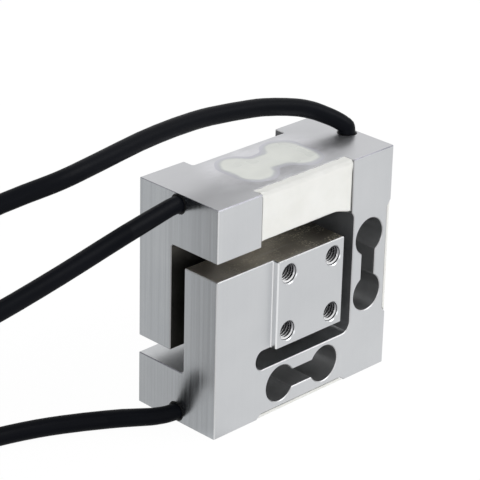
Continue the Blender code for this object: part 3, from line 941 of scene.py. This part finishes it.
@dataclass
class Cable:
    """One cable: its route from its bore to its coil, the coil, the free end and the stripped cores.

    Its loose stretch swells past the bore and thins again before the coil.
    """

    name: str
    exit_mm: Triple
    route_mm: tuple[Triple, ...]
    coil: Coil
    jacket: Material
    core_materials: dict[str, Material]
    sides: int = 7
    swell: float = 1.07
    swells_after: float = 9.0 * MM
    swells_over: float = 14.0 * MM
    thins_over: float = 30.0 * MM
    core_diameter: float = 1.1 * MM
    core_length: float = 26.0 * MM
    core_spread: float = 4.6 * MM
    core_steps: int = 16
    bare_steps: int = 3
    bare_share: float = 0.6
    line: list[Vector] = field(default_factory=list)
    loose: int = 0

    def build(self) -> None:
        self.lay()
        cable = cord_curve(f"{self.name}_lead", self.line, CABLE_DIAMETER, self.sides)
        self.thicken(cable)
        stem = f"{self.name}_cable"
        settle(paint(cable, self.jacket), Slot.JACKET, stem, f"{stem}_coil", f"{stem}_end")
        cores = self.build_cores()

    def lay(self) -> None:
        """Work out the whole line, from inside the bore to the free end, and how much of it is loose."""
        run = [Vector(p) * MM for p in self.route_mm] + [self.coil.arriving()]
        free = thinned(smooth_line(run))
        self.loose = len(free)
        self.line = free + self.coil.wound()

    def thicken(self, cable: Thing) -> None:
        """Make the loose stretch a little thicker than the tied turns, and lay it on the floor again.

        Args:
            cable: the cable's curve.
        """
        free = self.line[: self.loose]
        whole = length_of(free)
        passed = 0.0
        for k, point in enumerate(cable.data.splines[0].points[: self.loose]):
            passed += (free[k] - free[k - 1]).length if k else 0.0
            rise = (passed - self.swells_after) / self.swells_over
            fall = (whole - passed) / self.thins_over
            point.radius = 1.0 + (self.swell - 1.0) * eased(min(rise, fall))
            point.co.z = max(point.co.z, point.radius * CABLE_DIAMETER / 2)

    def build_cores(self) -> list[Thing]:
        """Make the four stripped cores, each with a bare tinned tip, fanned out and at rest.

        Returns:
            The cores and their tips.
        """
        # Each core's place in the cable, across and up, and its lean out of the fan's middle
        fan = {
            Slot.RED: (-1, -1, -1.0),
            Slot.GREEN: (-1, 1, -0.33),
            Slot.BLACK: (1, 1, 0.33),
            Slot.WHITE: (1, -1, 1.0),
        }
        bare = self.core_steps - self.bare_steps
        made = []
        for slot, (across, up, lean) in fan.items():
            line = self.core_line(across, up, lean)
            stem = f"{self.name}_{slot.value}"
            core = cord_curve(stem, line[: bare + 1], self.core_diameter)
            settle(paint(core, self.core_materials[slot.value]), slot, f"{self.name}_cable_{slot.value}")
            tip = cord_curve(f"{stem}_tip", line[bare:], self.bare_share * self.core_diameter)
            settle(paint(tip, self.core_materials["tinned"]), slot)
            made += [core, tip]
        return made

    def core_line(self, across: int, up: int, lean: float) -> list[Vector]:
        """The line of one core, from the jacket's end down to what it rests on.

        Args:
            across: its side of the cable, -1 or 1.
            up: whether it starts below or above the cable's middle, -1 or 1.
            lean: how far it leans out of the fan's middle, as a share of the spread.

        Returns:
            Its points.
        """
        end, ahead = self.line[-1], (self.line[-1] - self.line[-2]).normalized()
        side = ahead.cross(Vector((0, 0, 1))).normalized()
        offset = CABLE_DIAMETER / 6
        start = end.z + up * offset
        rest = self.coil.floor() + self.core_diameter / 2
        points = []
        for k in range(self.core_steps + 1):
            t = k / self.core_steps
            place = end + ahead * self.core_length * t
            place += side * (across * offset + lean * self.core_spread * t)
            points.append(Vector((place.x, place.y, start + (rest - start) * eased(t))))
        return points


# Block


class Surface(Enum):
    """Which finish a face of the block has, by its place in the list of materials."""

    FRONT = 0
    SIDE = 1
    TOP = 2
    # CUT, SPLIT, BORED and THREAD walls are darker than the milled faces: painted shade; FLOOR has painted
    # shade along X
    CUT = 3
    FLOOR = 4
    SPLIT = 5
    BORED = 6
    THREAD = 7
    # Broken edges, all of them at first; those that keep it are paler than the metal, a painted highlight
    EDGE = 8
    # Broken edges darker than the metal: painted shade
    DARK_EDGE = 9
    RIM = 10


@dataclass
class FlexureBlock:
    """The milled block: a copy of the CAD solid with its edges broken and each kind of face finished; the
    hollows' walls and some broken edges carry painted shade, and other broken edges a painted highlight.

    A face lies on an outer side within a hair of it. What a face is also follows from how much of its
    normal points along an axis, from square to it down to hardly at all.
    """

    frame: dict
    edge_break: float = 0.2 * MM
    sharp: float = 50.0
    crease: float = 28.0
    widened: Pair = (0.38 * MM, 0.30 * MM)
    split_half: float = 2.325 * MM
    bone_half_length: float = 12.7 * MM
    top_bone_half_width: float = 7.8 * MM
    screw_radius: float = 2.9 * MM
    screw_from: float = 4.0 * MM
    hair: float = 0.05 * MM
    square: float = 0.95
    mostly: float = 0.8
    halfway: float = 0.5
    partly: float = 0.4
    upturned: float = 0.3
    hardly: float = 0.1

    def materials(self) -> list[Material]:
        """The finishes in the order of Surface.

        Returns:
            The materials.
        """
        finishes = (
            MilledAluminium(),
            MilledAluminium(
                "brushed_side", (0.600, 0.625, 0.650), (0.665, 0.685, 0.705), 0.20, 0.05, 0.004 * MM
            ),
            SmearedAluminiumPaintedLight(),
            # The walls of the hollows are darker than the milled faces: painted shade
            CutWall(metallic=0.5),
            # The slot floor, with painted shade along X
            CutWall(
                "slot_floor",
                (0.57, 0.52, 0.45),
                (0.83, 0.77, 0.69),
                0.40,
                painted_shade=(0.22, 0.20, 0.17),
                scratches=0.3,
            ),
            CutWall("split_wall", (0.10, 0.10, 0.09), (0.16, 0.155, 0.145), 0.5),
            CutWall("bored_wall", (0.38, 0.385, 0.39), (0.48, 0.485, 0.49), 0.42, 0.006 * MM),
            CutWall("thread_wall", (0.05, 0.05, 0.055), (0.09, 0.09, 0.10), 0.35, 0.006 * MM),
            # Painted highlight: broken edges paler than the metal
            MilledAluminium("painted_highlight_edge", (0.88, 0.89, 0.90), (0.94, 0.94, 0.95), 0.32, 0.02),
            # Painted shade: broken edges darker than the metal
            MilledAluminium("painted_shade_edge", (0.20, 0.20, 0.23), (0.42, 0.42, 0.46), 0.40, 0.10),
            MilledAluminium("slot_rim", (0.50, 0.50, 0.51), (0.66, 0.66, 0.67), 0.45, 0.10),
        )
        return [finish.build() for finish in finishes]

    def build(self) -> None:
        """Make the block."""
        block = paint(copy_node(self.frame, "flexure_body", "flexure_block"), *self.materials())
        for face in block.data.polygons:
            face.material_index = self.surface(face.center, face.normal).value
        edit_mesh(block, self.widen)
        modify(
            block,
            "BEVEL",
            width=self.edge_break,
            segments=1,
            limit_method="ANGLE",
            angle_limit=math.radians(self.sharp),
            use_clamp_overlap=False,
            material=Surface.EDGE.value,
            miter_outer="MITER_ARC",
        )
        for face in block.data.polygons:
            if face.material_index == Surface.EDGE.value:
                face.material_index = self.edge_surface(face.center, face.normal).value
        smooth_by_angle(block, self.crease)
        modify(block, "WEIGHTED_NORMAL", weight=100, keep_sharp=True)
        settle(block, Slot.ALUMINIUM, "flexure_body")

    def widen(self, mesh: bmesh.types.BMesh) -> None:
        """Open the side and base slots a little towards the front, as wide as the photo shows them.

        Args:
            mesh: the block before its edges are broken.
        """
        middle = (SLOT_INNER + SLOT_OUTER) / 2
        half = (SLOT_OUTER - SLOT_INNER) / 2
        near = self.hair
        for vertex in mesh.verts:
            x, y, z = vertex.co
            z -= MIDDLE_Z
            if y > near - HALF_DEPTH or max(abs(x), abs(z)) > SLOT_OUTER + near:
                continue
            if x > SLOT_INNER - near:
                vertex.co.x += self.widened[0] * (x - middle) / half
            if z < near - SLOT_INNER:
                vertex.co.z += self.widened[1] * (z + middle) / half

    def in_screw_hole(self, place: Vector) -> bool:
        """Whether a point is in one of the pads' holes.

        Args:
            place: the point.

        Returns:
            True if it is.
        """
        u = abs(place.x - PAD_MIDDLE) - HOLE_SPACING / 2
        v = abs(place.z - MIDDLE_Z) - HOLE_SPACING / 2
        return math.hypot(u, v) < self.screw_radius and abs(place.y) > self.screw_from

    def in_bone(self, place: Vector) -> bool:
        """Whether a point is in the dog-bone hole of the top, side or base beam.

        Args:
            place: the point.

        Returns:
            True if it is.
        """
        x, y, z = abs(place.x), abs(place.y), abs(place.z - MIDDLE_Z)
        above = place.z - MIDDLE_Z > SLOT_OUTER + self.hair
        below = MIDDLE_Z - place.z > SLOT_OUTER + self.hair
        beside = place.x > SLOT_OUTER + self.hair
        top = above and x < self.bone_half_length and y < self.top_bone_half_width
        return top or (beside and z < self.bone_half_length) or (below and x < self.bone_half_length)

    def surface(self, place: Vector, normal: Vector) -> Surface:
        """Which finish a face has.

        Args:
            place: the face's middle.
            normal: the way it faces.

        Returns:
            The finish.
        """
        x, y, z = place
        through, upward = abs(normal.y), abs(normal.z)
        on_front = abs(y) > HALF_DEPTH - self.hair
        if self.in_screw_hole(place) and through < self.square:
            return Surface.THREAD if through < self.partly else Surface.FRONT
        if z > BLOCK_HEIGHT - self.hair:
            return Surface.TOP
        if abs(x) > HALF_WIDTH - self.hair:
            return Surface.SIDE
        # Painted highlight on upright faces at the front that turn away from it, left of the middle
        if on_front and through < self.square and upward < self.hardly and x < 0:
            return Surface.EDGE
        if on_front or z < self.hair:
            return Surface.FRONT
        if self.in_bone(place):
            return Surface.BORED
        if through > self.halfway and abs(y) < self.split_half + self.hair:
            return Surface.SPLIT
        if normal.z > self.mostly:
            return Surface.FLOOR if z > MIDDLE_Z else Surface.FRONT
        return Surface.CUT

    def edge_surface(self, place: Vector, normal: Vector) -> Surface:
        """Which finish a broken edge has.

        Args:
            place: the middle of the edge's face.
            normal: the way it faces.

        Returns:
            The finish: painted shade along the top's front and left edges and at the base slot's left end, a
                painted highlight at the outer corners and on the pads' left, and duller elsewhere.
        """
        x, y, z = place
        reach = self.edge_break
        on_left, on_front = x < reach - HALF_WIDTH, y < reach - HALF_DEPTH
        # Painted shade on the top's front and left edges and at the base slot's left end
        if z > BLOCK_HEIGHT - reach and (on_left or on_front):
            return Surface.DARK_EDGE
        if on_left and abs(z - MIDDLE_Z + SLOT_OUTER) < reach:
            return Surface.DARK_EDGE
        # Painted shade: upturned edges at the height of 41.7 mm take the darker bored finish, so they show
        # no highlight
        if normal.z > self.upturned and abs(z - MIDDLE_Z - SLOT_INNER) < reach:
            return Surface.BORED
        # Painted highlight at the outer corners and on the pads' left; the other edges keep the plain rim
        # finish
        corner = abs(x) > HALF_WIDTH - reach and abs(y) > HALF_DEPTH - reach
        pad_left = x < 0 and abs(y) > HALF_DEPTH
        return Surface.EDGE if corner or pad_left else Surface.RIM


@dataclass
class ThreadedHoles:
    """The ridges of the threads in one pad's four holes.

    A ridge runs from the hole's outer radius to its inner one, starts below the mouth and rises from a
    small share of its height to all of it over part of a turn.
    """

    name: str
    side: int
    metal: Material
    outer: float = 2.47 * MM
    inner: float = 2.07 * MM
    pitch: float = 0.8 * MM
    turns: int = 10
    steps: int = 36
    depth: float = 0.22 * MM
    foot: float = 0.62
    crest: float = 0.1
    start: float = 60.0
    lead_in: float = 0.2
    lead_height: float = 0.15
    crease: float = 35.0

    def build(self) -> None:
        """Make the four ridges as one piece."""
        ridges = []
        for u, v in ((-1, 1), (1, 1), (-1, -1), (1, -1)):
            ridge = self.ridge()
            place = (
                PAD_MIDDLE + u * HOLE_SPACING / 2,
                self.side * (PAD_FACE - self.depth),
                MIDDLE_Z + v * HOLE_SPACING / 2,
            )
            ridge.matrix_world = (
                Matrix.Translation(place)
                @ Matrix.Rotation(-self.side * math.pi / 2, 4, "X")
                @ Matrix.Rotation(math.radians(self.start), 4, "Z")
            )
            apply_place(ridge)
            self.note_height(ridge, place[2])
            ridges.append(ridge)
        piece = activate(ridges[0])
        for ridge in ridges:
            ridge.select_set(True)
        bpy.ops.object.join()
        piece.name = piece.data.name = self.name
        smooth_by_angle(piece, self.crease)
        settle(paint(piece, self.metal), Slot.ALUMINIUM)

    def note_height(self, ridge: Thing, middle_z: float) -> None:
        """Store how far down the hole's wall each point lies: 0 at the crown, 1 at the foot, for the ridges'
        painted shade and highlight.

        Args:
            ridge: the ridge in its place.
            middle_z: the height of the hole's middle.
        """
        layer = ridge.data.attributes.new("down_wall", "FLOAT", "POINT")
        for vertex in ridge.data.vertices:
            layer.data[vertex.index].value = 0.5 + 0.5 * (middle_z - vertex.co.z) / self.outer

    def ridge(self) -> Thing:
        """Make one helical ridge along -Z from its origin: a flat-crested section turned by a screw.

        Returns:
            The ridge, closed at both ends.
        """
        half = self.pitch / 2
        foot, crest = half * self.foot, half * self.crest
        section = ((self.outer, foot), (self.inner, crest), (self.inner, -crest), (self.outer, -foot))
        deselect_all()
        bpy.ops.mesh.primitive_circle_add(vertices=len(section), radius=MM)
        ridge = named("ridge")
        for vertex, (radius, height) in zip(ridge.data.vertices, section):
            vertex.co = (radius, 0.0, height - half)
        modify(
            ridge,
            "SCREW",
            axis="Z",
            angle=math.radians(-360),
            screw_offset=-self.pitch,
            iterations=self.turns,
            steps=self.steps,
            render_steps=self.steps,
            use_normal_calculate=True,
        )
        for vertex in ridge.data.vertices:
            radius = math.hypot(vertex.co.x, vertex.co.y)
            led_in = min(1.0, max(0.0, -vertex.co.z - half) / (self.lead_in * self.pitch))
            share = self.lead_height + (1.0 - self.lead_height) * led_in
            wanted = self.outer - (self.outer - radius) * share
            vertex.co.x *= wanted / radius
            vertex.co.y *= wanted / radius
        with edit_mode():
            bpy.ops.mesh.select_all(action="DESELECT")
            bpy.ops.mesh.select_mode(type="EDGE")
            bpy.ops.mesh.select_non_manifold()
            bpy.ops.mesh.edge_face_add()
            bpy.ops.mesh.select_all(action="SELECT")
            bpy.ops.mesh.normals_make_consistent(inside=False)
        return ridge


# Silicone and small pieces


@dataclass
class ThinFillings:
    """The silicone flush in the side and base pockets."""

    frame: dict
    silicone: Material
    edge_round: float = 0.2 * MM
    sharp: float = 40.0
    crease: float = 50.0

    def build(self) -> None:
        """Make both: copies of the CAD solids with their edges slumped round."""
        for pocket in ("side", "base"):
            piece = copy_node(self.frame, f"{pocket}_potting", f"{pocket}_silicone")
            modify(
                piece,
                "BEVEL",
                width=self.edge_round,
                segments=2,
                limit_method="ANGLE",
                angle_limit=math.radians(self.sharp),
            )
            smooth_by_angle(paint(piece, self.silicone), self.crease)
            settle(piece, Slot.SILICONE, f"{pocket}_potting")


@dataclass
class BeamFilling:
    """Silicone poured into a pocket of the top beam: slumped at its edges and climbing one end wall.

    Pairs hold how far the skin moves and how far along it that fades to nothing, unless a comment says
    otherwise.
    """

    name: str
    node: str
    side: int
    silicone: Material
    half_length: float = 15.57 * MM
    inner: float = 10.23 * MM
    outer: float = 13.25 * MM
    low: float = 46.38 * MM
    high: float = 59.92 * MM
    top_round: float = 1.2 * MM
    foot_round: float = 0.45 * MM
    ripple: float = 0.05 * MM
    top_ripple: float = 0.09 * MM
    climb: Pair = (0.22 * MM, 1.1 * MM)
    sunk: Pair = (0.25 * MM, 0.7 * MM)
    sunk_below: float = 4.0 * MM
    lump: Pair = (0.42 * MM, 1.3 * MM)
    # From the filling's left end and from its face
    lump_place: Pair = (0.5 * MM, 0.8 * MM)
    lift: float = 0.0
    # Where the lift of the lower edge is whole, and where it has faded
    lifted_to: Pair = (9.3 * MM, 16.2 * MM)
    cuts: int = 44
    crease: float = 50.0
    hair: float = 0.001 * MM

    def build(self) -> None:
        """Make the filling."""
        deselect_all()
        middle = (0.0, self.side * (self.inner + self.outer) / 2, (self.low + self.high) / 2)
        bpy.ops.mesh.primitive_cube_add(size=1.0, location=middle)
        piece = named(self.name)
        piece.scale = (2 * self.half_length, self.outer - self.inner, self.high - self.low)
        apply_place(piece)
        with edit_mode():
            bpy.ops.mesh.subdivide(number_cuts=self.cuts)
        edit_mesh(piece, self.slump)
        smooth_by_angle(piece, self.crease)
        settle(paint(piece, self.silicone), Slot.SILICONE, self.node)

    def slump(self, mesh: bmesh.types.BMesh) -> None:
        """Round the outer edges, wave the skin, raise the meniscus and lift the lower edge.

        Args:
            mesh: the finely divided box.
        """
        for vertex in mesh.verts:
            x, depth, z = vertex.co.x, self.outer - self.side * vertex.co.y, vertex.co.z
            top, foot = self.high - z, z - self.low
            on_front, on_top, on_foot = (away < self.hair for away in (depth, top, foot))
            if on_front and top < self.top_round:
                depth = self.arc(self.top_round, top)
            elif on_front and foot < self.foot_round:
                depth = self.arc(self.foot_round, foot)
            elif on_top and depth < self.top_round:
                z = self.high - self.arc(self.top_round, depth)
            elif on_foot and depth < self.foot_round:
                z = self.low + self.arc(self.foot_round, depth)
            if on_front:
                from_left, from_right = x + self.half_length, self.half_length - x
                depth += self.ripple * self.wave(x, z)
                depth -= self.climb[0] * self.near(from_left, self.climb[1])
                lower = 1.0 - self.near(top, self.sunk_below)
                depth += self.sunk[0] * self.near(from_right, self.sunk[1]) * lower
            if on_top or (on_front and top < self.top_round):
                fade = 1.0 if on_top else 1.0 - top / self.top_round
                z += fade * self.top_ripple * self.wave(1.7 * x, 0.4 * depth)
                along, back = self.lump_place
                away = math.hypot(x + self.half_length - along, depth - back)
                z += fade * self.lump[0] * self.near(away, self.lump[1])
            whole, faded = self.lifted_to
            raised = self.lift * self.near(x - whole, faded - whole)
            z += raised * (self.high - z) / (self.high - self.low)
            vertex.co = (x, self.side * (self.outer - depth), z)

    @staticmethod
    def arc(radius: float, distance: float) -> float:
        """How far a rounded edge falls back at a distance from its corner."""
        return radius - math.sqrt(max(0.0, radius**2 - (radius - distance) ** 2))

    @staticmethod
    def near(distance: float, reach: float) -> float:
        """1 at a place, falling smoothly to 0 at a reach from it."""
        return eased(1.0 - distance / reach)

    def wave(self, first: float, second: float) -> float:
        """A slow uneven wave over two lengths.

        Args:
            first: a length along the skin, in metres.
            second: another length across it.

        Returns:
            The wave's height, about -1 to 1.
        """
        a, b = first / MM, second / MM
        slow = math.sin(0.55 * a + 1.3 * self.side)
        return 0.5 * slow + 0.3 * math.sin(1.27 * a + 0.8 * b) + 0.3 * math.sin(0.71 * b - a)


@dataclass
class GelFilling:
    """Clear silicone in the top beam's hole, brimming over the rim in a thin soft-edged film.

    The hole is a bone: a long round-ended lobe on either side and a channel between them. The film's edge
    is ragged, by waves along the beam, across it and aslant.
    """

    frame: dict
    gel: Material
    lobe_x: float = 7.7 * MM
    lobe_radius: float = 4.85 * MM
    lobe_straight: float = 2.75 * MM
    channel_half: float = 3.9 * MM
    blend: float = 1.6 * MM
    ragged: float = 0.14 * MM
    waves: Triple = (1.9 * MM, 1.4 * MM, 1.1 * MM)
    reach: float = 1.7 * MM
    slope: float = 4.0 * MM
    crown: float = 0.17 * MM
    sunk: float = 0.012 * MM
    skin: float = 0.04 * MM
    plug_crease: float = 40.0
    film_crease: float = 60.0
    sheet: Pair = (29.0 * MM, 19.0 * MM)
    squares: tuple[int, int] = (150, 100)

    def build(self) -> None:
        """Make the plug in the hole and the film that covers its mouth."""
        plug = paint(copy_node(self.frame, "top_bone_potting", "top_hole_plug"), self.gel)
        smooth_by_angle(plug, self.plug_crease)
        settle(plug, Slot.GEL, "top_bone_potting")
        deselect_all()
        bpy.ops.mesh.primitive_grid_add(
            x_subdivisions=self.squares[0],
            y_subdivisions=self.squares[1],
            size=1.0,
            location=(0.0, 0.0, BLOCK_HEIGHT),
        )
        film = named("top_hole_film")
        film.scale = (*self.sheet, 1.0)
        apply_place(film)
        edit_mesh(film, self.pour)
        modify(film, "SOLIDIFY", thickness=self.skin, offset=-1.0)
        smooth_by_angle(film, self.film_crease)
        settle(paint(film, self.gel), Slot.GEL)

    def pour(self, mesh: bmesh.types.BMesh) -> None:
        """Crown the film, note how far each point is from the rim and cut away what is past the film.

        Args:
            mesh: a flat grid at the height of the block's top.
        """
        layer = mesh.verts.layers.float.new("from_rim")
        past = []
        for vertex in mesh.verts:
            away = self.from_rim(vertex.co.x, vertex.co.y)
            if away > self.reach:
                past.append(vertex)
            vertex[layer] = min(1.0, max(0.0, 0.5 + away / self.slope))
            vertex.co.z += self.crown * eased((self.reach - away) / self.slope) - self.sunk
        bmesh.ops.delete(mesh, geom=past, context="VERTS")

    def from_rim(self, x: float, y: float) -> float:
        """How far a point lies outside the hole's uneven rim.

        Args:
            x: its place along the beam.
            y: its place across the beam.

        Returns:
            The distance in metres; less than 0 inside the rim.
        """
        lobe = math.hypot(abs(x) - self.lobe_x, max(0.0, abs(y) - self.lobe_straight)) - self.lobe_radius
        channel = max(abs(y) - self.channel_half, abs(x) - self.lobe_x)
        share = max(0.0, 1.0 - abs(lobe - channel) / self.blend)
        along, across, aslant = self.waves
        uneven = math.sin(x / along) * math.sin(y / across + 0.6) + 0.6 * math.sin((x + y) / aslant)
        return min(lobe, channel) - share * share * self.blend / 4 + self.ragged * uneven


@dataclass
class SmallPieces:
    """The CAD nodes whose shape is right and that only need their finish."""

    frame: dict
    finishes: dict[str, Finish]

    def dress(self) -> None:
        """Give each node the finish whose part of a name it holds."""
        for part, finish in self.finishes.items():
            material = finish.build()
            for node, thing in self.frame["nodes"].items():
                if part in node:
                    for place in thing.material_slots:
                        place.material = material
                    LOG.info("%s: dressed in %s", node, material.name)


# Studio


@dataclass(frozen=True)
class Lamp:
    """A soft lamp that faces the object."""

    name: str
    place: Triple
    size: Pair
    power: float
    target: Triple = (0.0, 0.0, 0.03)

    def build(self) -> None:
        """Hang the lamp, unseen by the camera."""
        data = bpy.data.lights.new(self.name, "AREA")
        data.shape = "RECTANGLE"
        data.size, data.size_y = self.size
        data.energy = self.power
        thing = linked(self.name, data)
        thing.location = self.place
        thing.visible_camera = False
        aim = Vector(self.target) - Vector(self.place)
        thing.rotation_euler = aim.to_track_quat("-Z", "Y").to_euler()


@dataclass
class Studio:
    """A pale floor, soft lamps, a pale world and the camera at the photograph's viewpoint.

    The floor and the card glow at two levels each in reflections, and go from one to the other between two
    places: the floor along X less Y, the card along Y. The floor's glow is painted shade, darker to the
    left-back, and the card is a painted reflection.
    """

    place: Triple = (-0.359285, -0.346155, 0.268584)
    ahead: Triple = (0.64573, 0.638767, -0.418342)
    right: Triple = (0.710461, -0.703372, 0.022647)
    down: Triple = (-0.279784, -0.311839, -0.908007)
    lens: float = 168.45
    sensor: float = 36.0
    sight: Pair = (0.01, 20.0)
    world_strength: float = 0.62
    world_reflected: float = 0.85
    floor_size: float = 6.0
    floor_paint: Triple = (0.92, 0.92, 0.92)
    floor_seen: float = 1.02
    floor_glow: float = 0.95
    # Painted shade in reflections: the floor's glow is darker to the left-back than to the right-front
    floor_painted_shade_in_reflections: Pair = (0.56, 0.90)
    floor_between: Pair = (-27.0 * MM, -6.0 * MM)
    # A glowing card that only reflections see: a painted reflection, brighter along Y
    card_place: Triple = (-46.0 * MM, 36.0 * MM, 34.5 * MM)
    card_size: Pair = (67.0 * MM, 116.0 * MM)
    card_painted_reflection: Pair = (0.44, 0.60)
    card_between: Pair = (2.0 * MM, 24.0 * MM)
    lamps: tuple[Lamp, ...] = (
        Lamp("key_lamp", (0.55, -0.75, 1.05), (0.9, 0.9), 7.0),
        Lamp("fill_lamp", (-0.95, -0.95, 0.32), (0.7, 0.5), 2.0),
    )

    def build(self) -> None:
        """Make the whole studio."""
        self.camera()
        self.world()
        self.floor()
        for lamp in self.lamps:
            lamp.build()
        self.reflector()
        bpy.context.scene.view_settings.view_transform = "Standard"

    def camera(self) -> None:
        """Set up the camera from its measured place and axes."""
        data = bpy.data.cameras.new("camera")
        data.lens = self.lens
        data.sensor_width = self.sensor
        data.clip_start, data.clip_end = self.sight
        thing = linked("camera", data)
        turn = Matrix((Vector(self.right), -Vector(self.down), -Vector(self.ahead))).transposed()
        thing.matrix_world = Matrix.Translation(self.place) @ turn.to_4x4()
        bpy.context.scene.camera = thing

    def world(self) -> None:
        """Make a pale world, with one level for its light, one in reflections and white to the camera."""
        world = bpy.data.worlds.new("studio")
        bpy.context.scene.world = world
        kit = Nodes(world)
        rays = kit.node("LightPath").outputs
        levels = {
            "Is Transmission Ray": self.world_reflected,
            "Is Glossy Ray": self.world_reflected,
            "Is Camera Ray": 1.0,
        }
        strength = self.world_strength
        for ray, level in levels.items():
            links = {"Factor": rays[ray], "A": strength, "B": level}
            strength = kit.node("Mix", links, data_type="FLOAT").outputs["Result"]
        ground = kit.tree.nodes["Background"]
        kit.feed(ground.inputs["Strength"], strength)
        kit.feed(ground.inputs["Color"], WHITE)

    def floor(self) -> None:
        """Make a pale floor that keeps the object's shadow."""
        bpy.ops.mesh.primitive_plane_add(size=self.floor_size, location=(0, 0, 0))
        floor = named("studio_floor")
        with edit_mode():
            bpy.ops.mesh.subdivide(number_cuts=8)
        kit = Nodes(bpy.data.materials.new("floor_paint"))
        kit.dress({"Base Color": self.floor_paint, "Roughness": 0.9, "Specular IOR Level": 0.0})
        rays = kit.node("LightPath").outputs
        # Painted shade in reflections: the glow is lower towards the left-back, along X less Y
        across = kit.math("SUBTRACT", kit.axis("X"), kit.axis("Y"))
        level = kit.graded(across, *self.floor_between, *self.floor_painted_shade_in_reflections)
        links = {"Factor": rays["Is Camera Ray"], "A": level, "B": self.floor_seen}
        seen = kit.node("Mix", links, data_type="FLOAT").outputs["Result"]
        either = kit.math("MAXIMUM", rays["Is Camera Ray"], rays["Is Glossy Ray"])
        either = kit.math("MAXIMUM", either, rays["Is Transmission Ray"])
        share = kit.math("MULTIPLY", either, self.floor_glow)
        paint_only = kit.tree.nodes["Principled BSDF"].outputs[0]
        mix = kit.node("MixShader", {0: share, 1: paint_only, 2: kit.glow(seen)})
        paint(floor, kit.show(mix.outputs[0]))

    def reflector(self) -> None:
        """Make a glowing grey card left of the block, seen only in the metal's reflections: a painted
        reflection.
        """
        deselect_all()
        upright = (0.0, math.radians(90), 0.0)
        bpy.ops.mesh.primitive_plane_add(size=1.0, location=self.card_place, rotation=upright)
        card = named("studio_reflector")
        card.scale = (*self.card_size, 1.0)
        apply_place(card)
        kit = Nodes(bpy.data.materials.new("painted_reflection_card"))
        # Painted reflection: the card glows, brighter along Y
        level = kit.graded(kit.axis("Y"), *self.card_between, *self.card_painted_reflection)
        paint(card, kit.show(kit.glow(level)))
        card.visible_camera = card.visible_diffuse = card.visible_shadow = False
        card.visible_transmission = card.visible_volume_scatter = False


# The whole


UPPER_ROUTE = (
    (27.45, 0.0, 52.0), (27.45, 0.0, 60.6), (26.7, 0.55, 62.2), (25.2, 1.9, 63.5), (23.2, 3.5, 64.7),
    (20.0, 5.2, 66.3), (15.6, 6.5, 67.8), (8.5, 7.8, 69.4), (1.0, 8.6, 70.5), (-14.7, 9.0, 72.0),
    (-32.6, 7.2, 72.7), (-50.0, 5.0, 72.1), (-62.1, 4.8, 70.9), (-74.8, 9.8, 67.4), (-87.9, 15.2, 62.2),
    (-99.5, 23.2, 57.8), (-109.8, 33.8, 54.2), (-113.8, 40.1, 52.7),
)
MIDDLE_ROUTE = (
    (-22.0, 0.0, 57.45), (-30.8, 0.0, 57.45), (-36.0, 0.0, 56.7), (-48.0, 0.3, 54.2), (-64.9, 1.5, 49.7),
    (-81.0, 3.2, 45.5), (-93.0, 6.4, 41.9), (-104.2, 15.2, 38.4), (-111.8, 28.4, 35.8), (-115.9, 44.4, 34.4),
)
LOWER_ROUTE = (
    (-22.0, 0.0, 2.55), (-30.8, 0.0, 2.55), (-35.0, 1.9, 2.2), (-39.6, 5.2, 2.1),
    (-48.3, 10.6, 2.1), (-58.5, 15.8, 2.1), (-69.0, 19.5, 2.1), (-79.0, 21.6, 2.1), (-88.9, 22.4, 2.1),
    (-99.3, 25.6, 2.1),
)


def main() -> None:
    """Build the sensor's looks, piece by piece, and the studio."""
    logging.basicConfig(level=logging.INFO, format="%(name)s %(message)s")
    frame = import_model()
    deselect_all()
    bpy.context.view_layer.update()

    Studio().build()

    core_materials = {
        "core_red": Plastic("core_red", (0.55, 0.03, 0.03), 0.35).build(),
        "core_green": Plastic("core_green", (0.03, 0.30, 0.08), 0.35).build(),
        "core_black": Plastic("core_black", (0.02, 0.02, 0.02), 0.35).build(),
        "core_white": Plastic("core_white", (0.80, 0.80, 0.78), 0.35).build(),
        "tinned": Plastic("tinned_copper", (0.62, 0.60, 0.57), 0.3, metallic=1.0).build(),
    }
    jacket = Plastic("cable_jacket", (0.0035, 0.0042, 0.0065), 0.40, 700.0, shine=0.06).build()
    cables = (
        ("upper", (27.45, 0.0, 60.0), UPPER_ROUTE, Coil(2, 195, 294, 75, Winding.COLUMNS_IN)),
        ("middle", (-30.0, 0.0, 57.45), MIDDLE_ROUTE, Coil(1, 170, 365, 0, Winding.ROWS_DOWN)),
        ("lower", (-30.0, 0.0, 2.55), LOWER_ROUTE, Coil(0, 225, 135, 30, Winding.ROWS_UP)),
    )
    for name, place, route, coil in cables:
        Cable(name, place, route, coil, jacket, core_materials).build()

    FlexureBlock(frame).build()
    # The ridges' material paints shade under each hole's crown and a highlight at its foot
    ridge_painted_light = ThreadPaintedLight().build()
    ThreadedHoles("front_threads", -1, ridge_painted_light).build()
    ThreadedHoles("rear_threads", 1, ridge_painted_light).build()
    white = Silicone().build()
    ThinFillings(frame, white).build()
    BeamFilling("front_silicone", "front_potting", -1, white, lift=1.45 * MM).build()
    BeamFilling("rear_silicone", "rear_potting", 1, white, high=58.2 * MM).build()
    GelFilling(frame, Gel().build()).build()
    small = {
        "_gauge_": Plastic("gauge_foil", (0.62, 0.40, 0.16), 0.5),
        "_terminals": Plastic("terminal_board", (0.10, 0.25, 0.12), 0.6),
        "_seal": Plastic("bore_sealant", (0.01, 0.01, 0.01), 0.55),
        "_tie_": Plastic("tie_band", (0.02, 0.02, 0.02), 0.45),
    }
    SmallPieces(frame, small).dress()


if __name__ == "__main__":
    main()
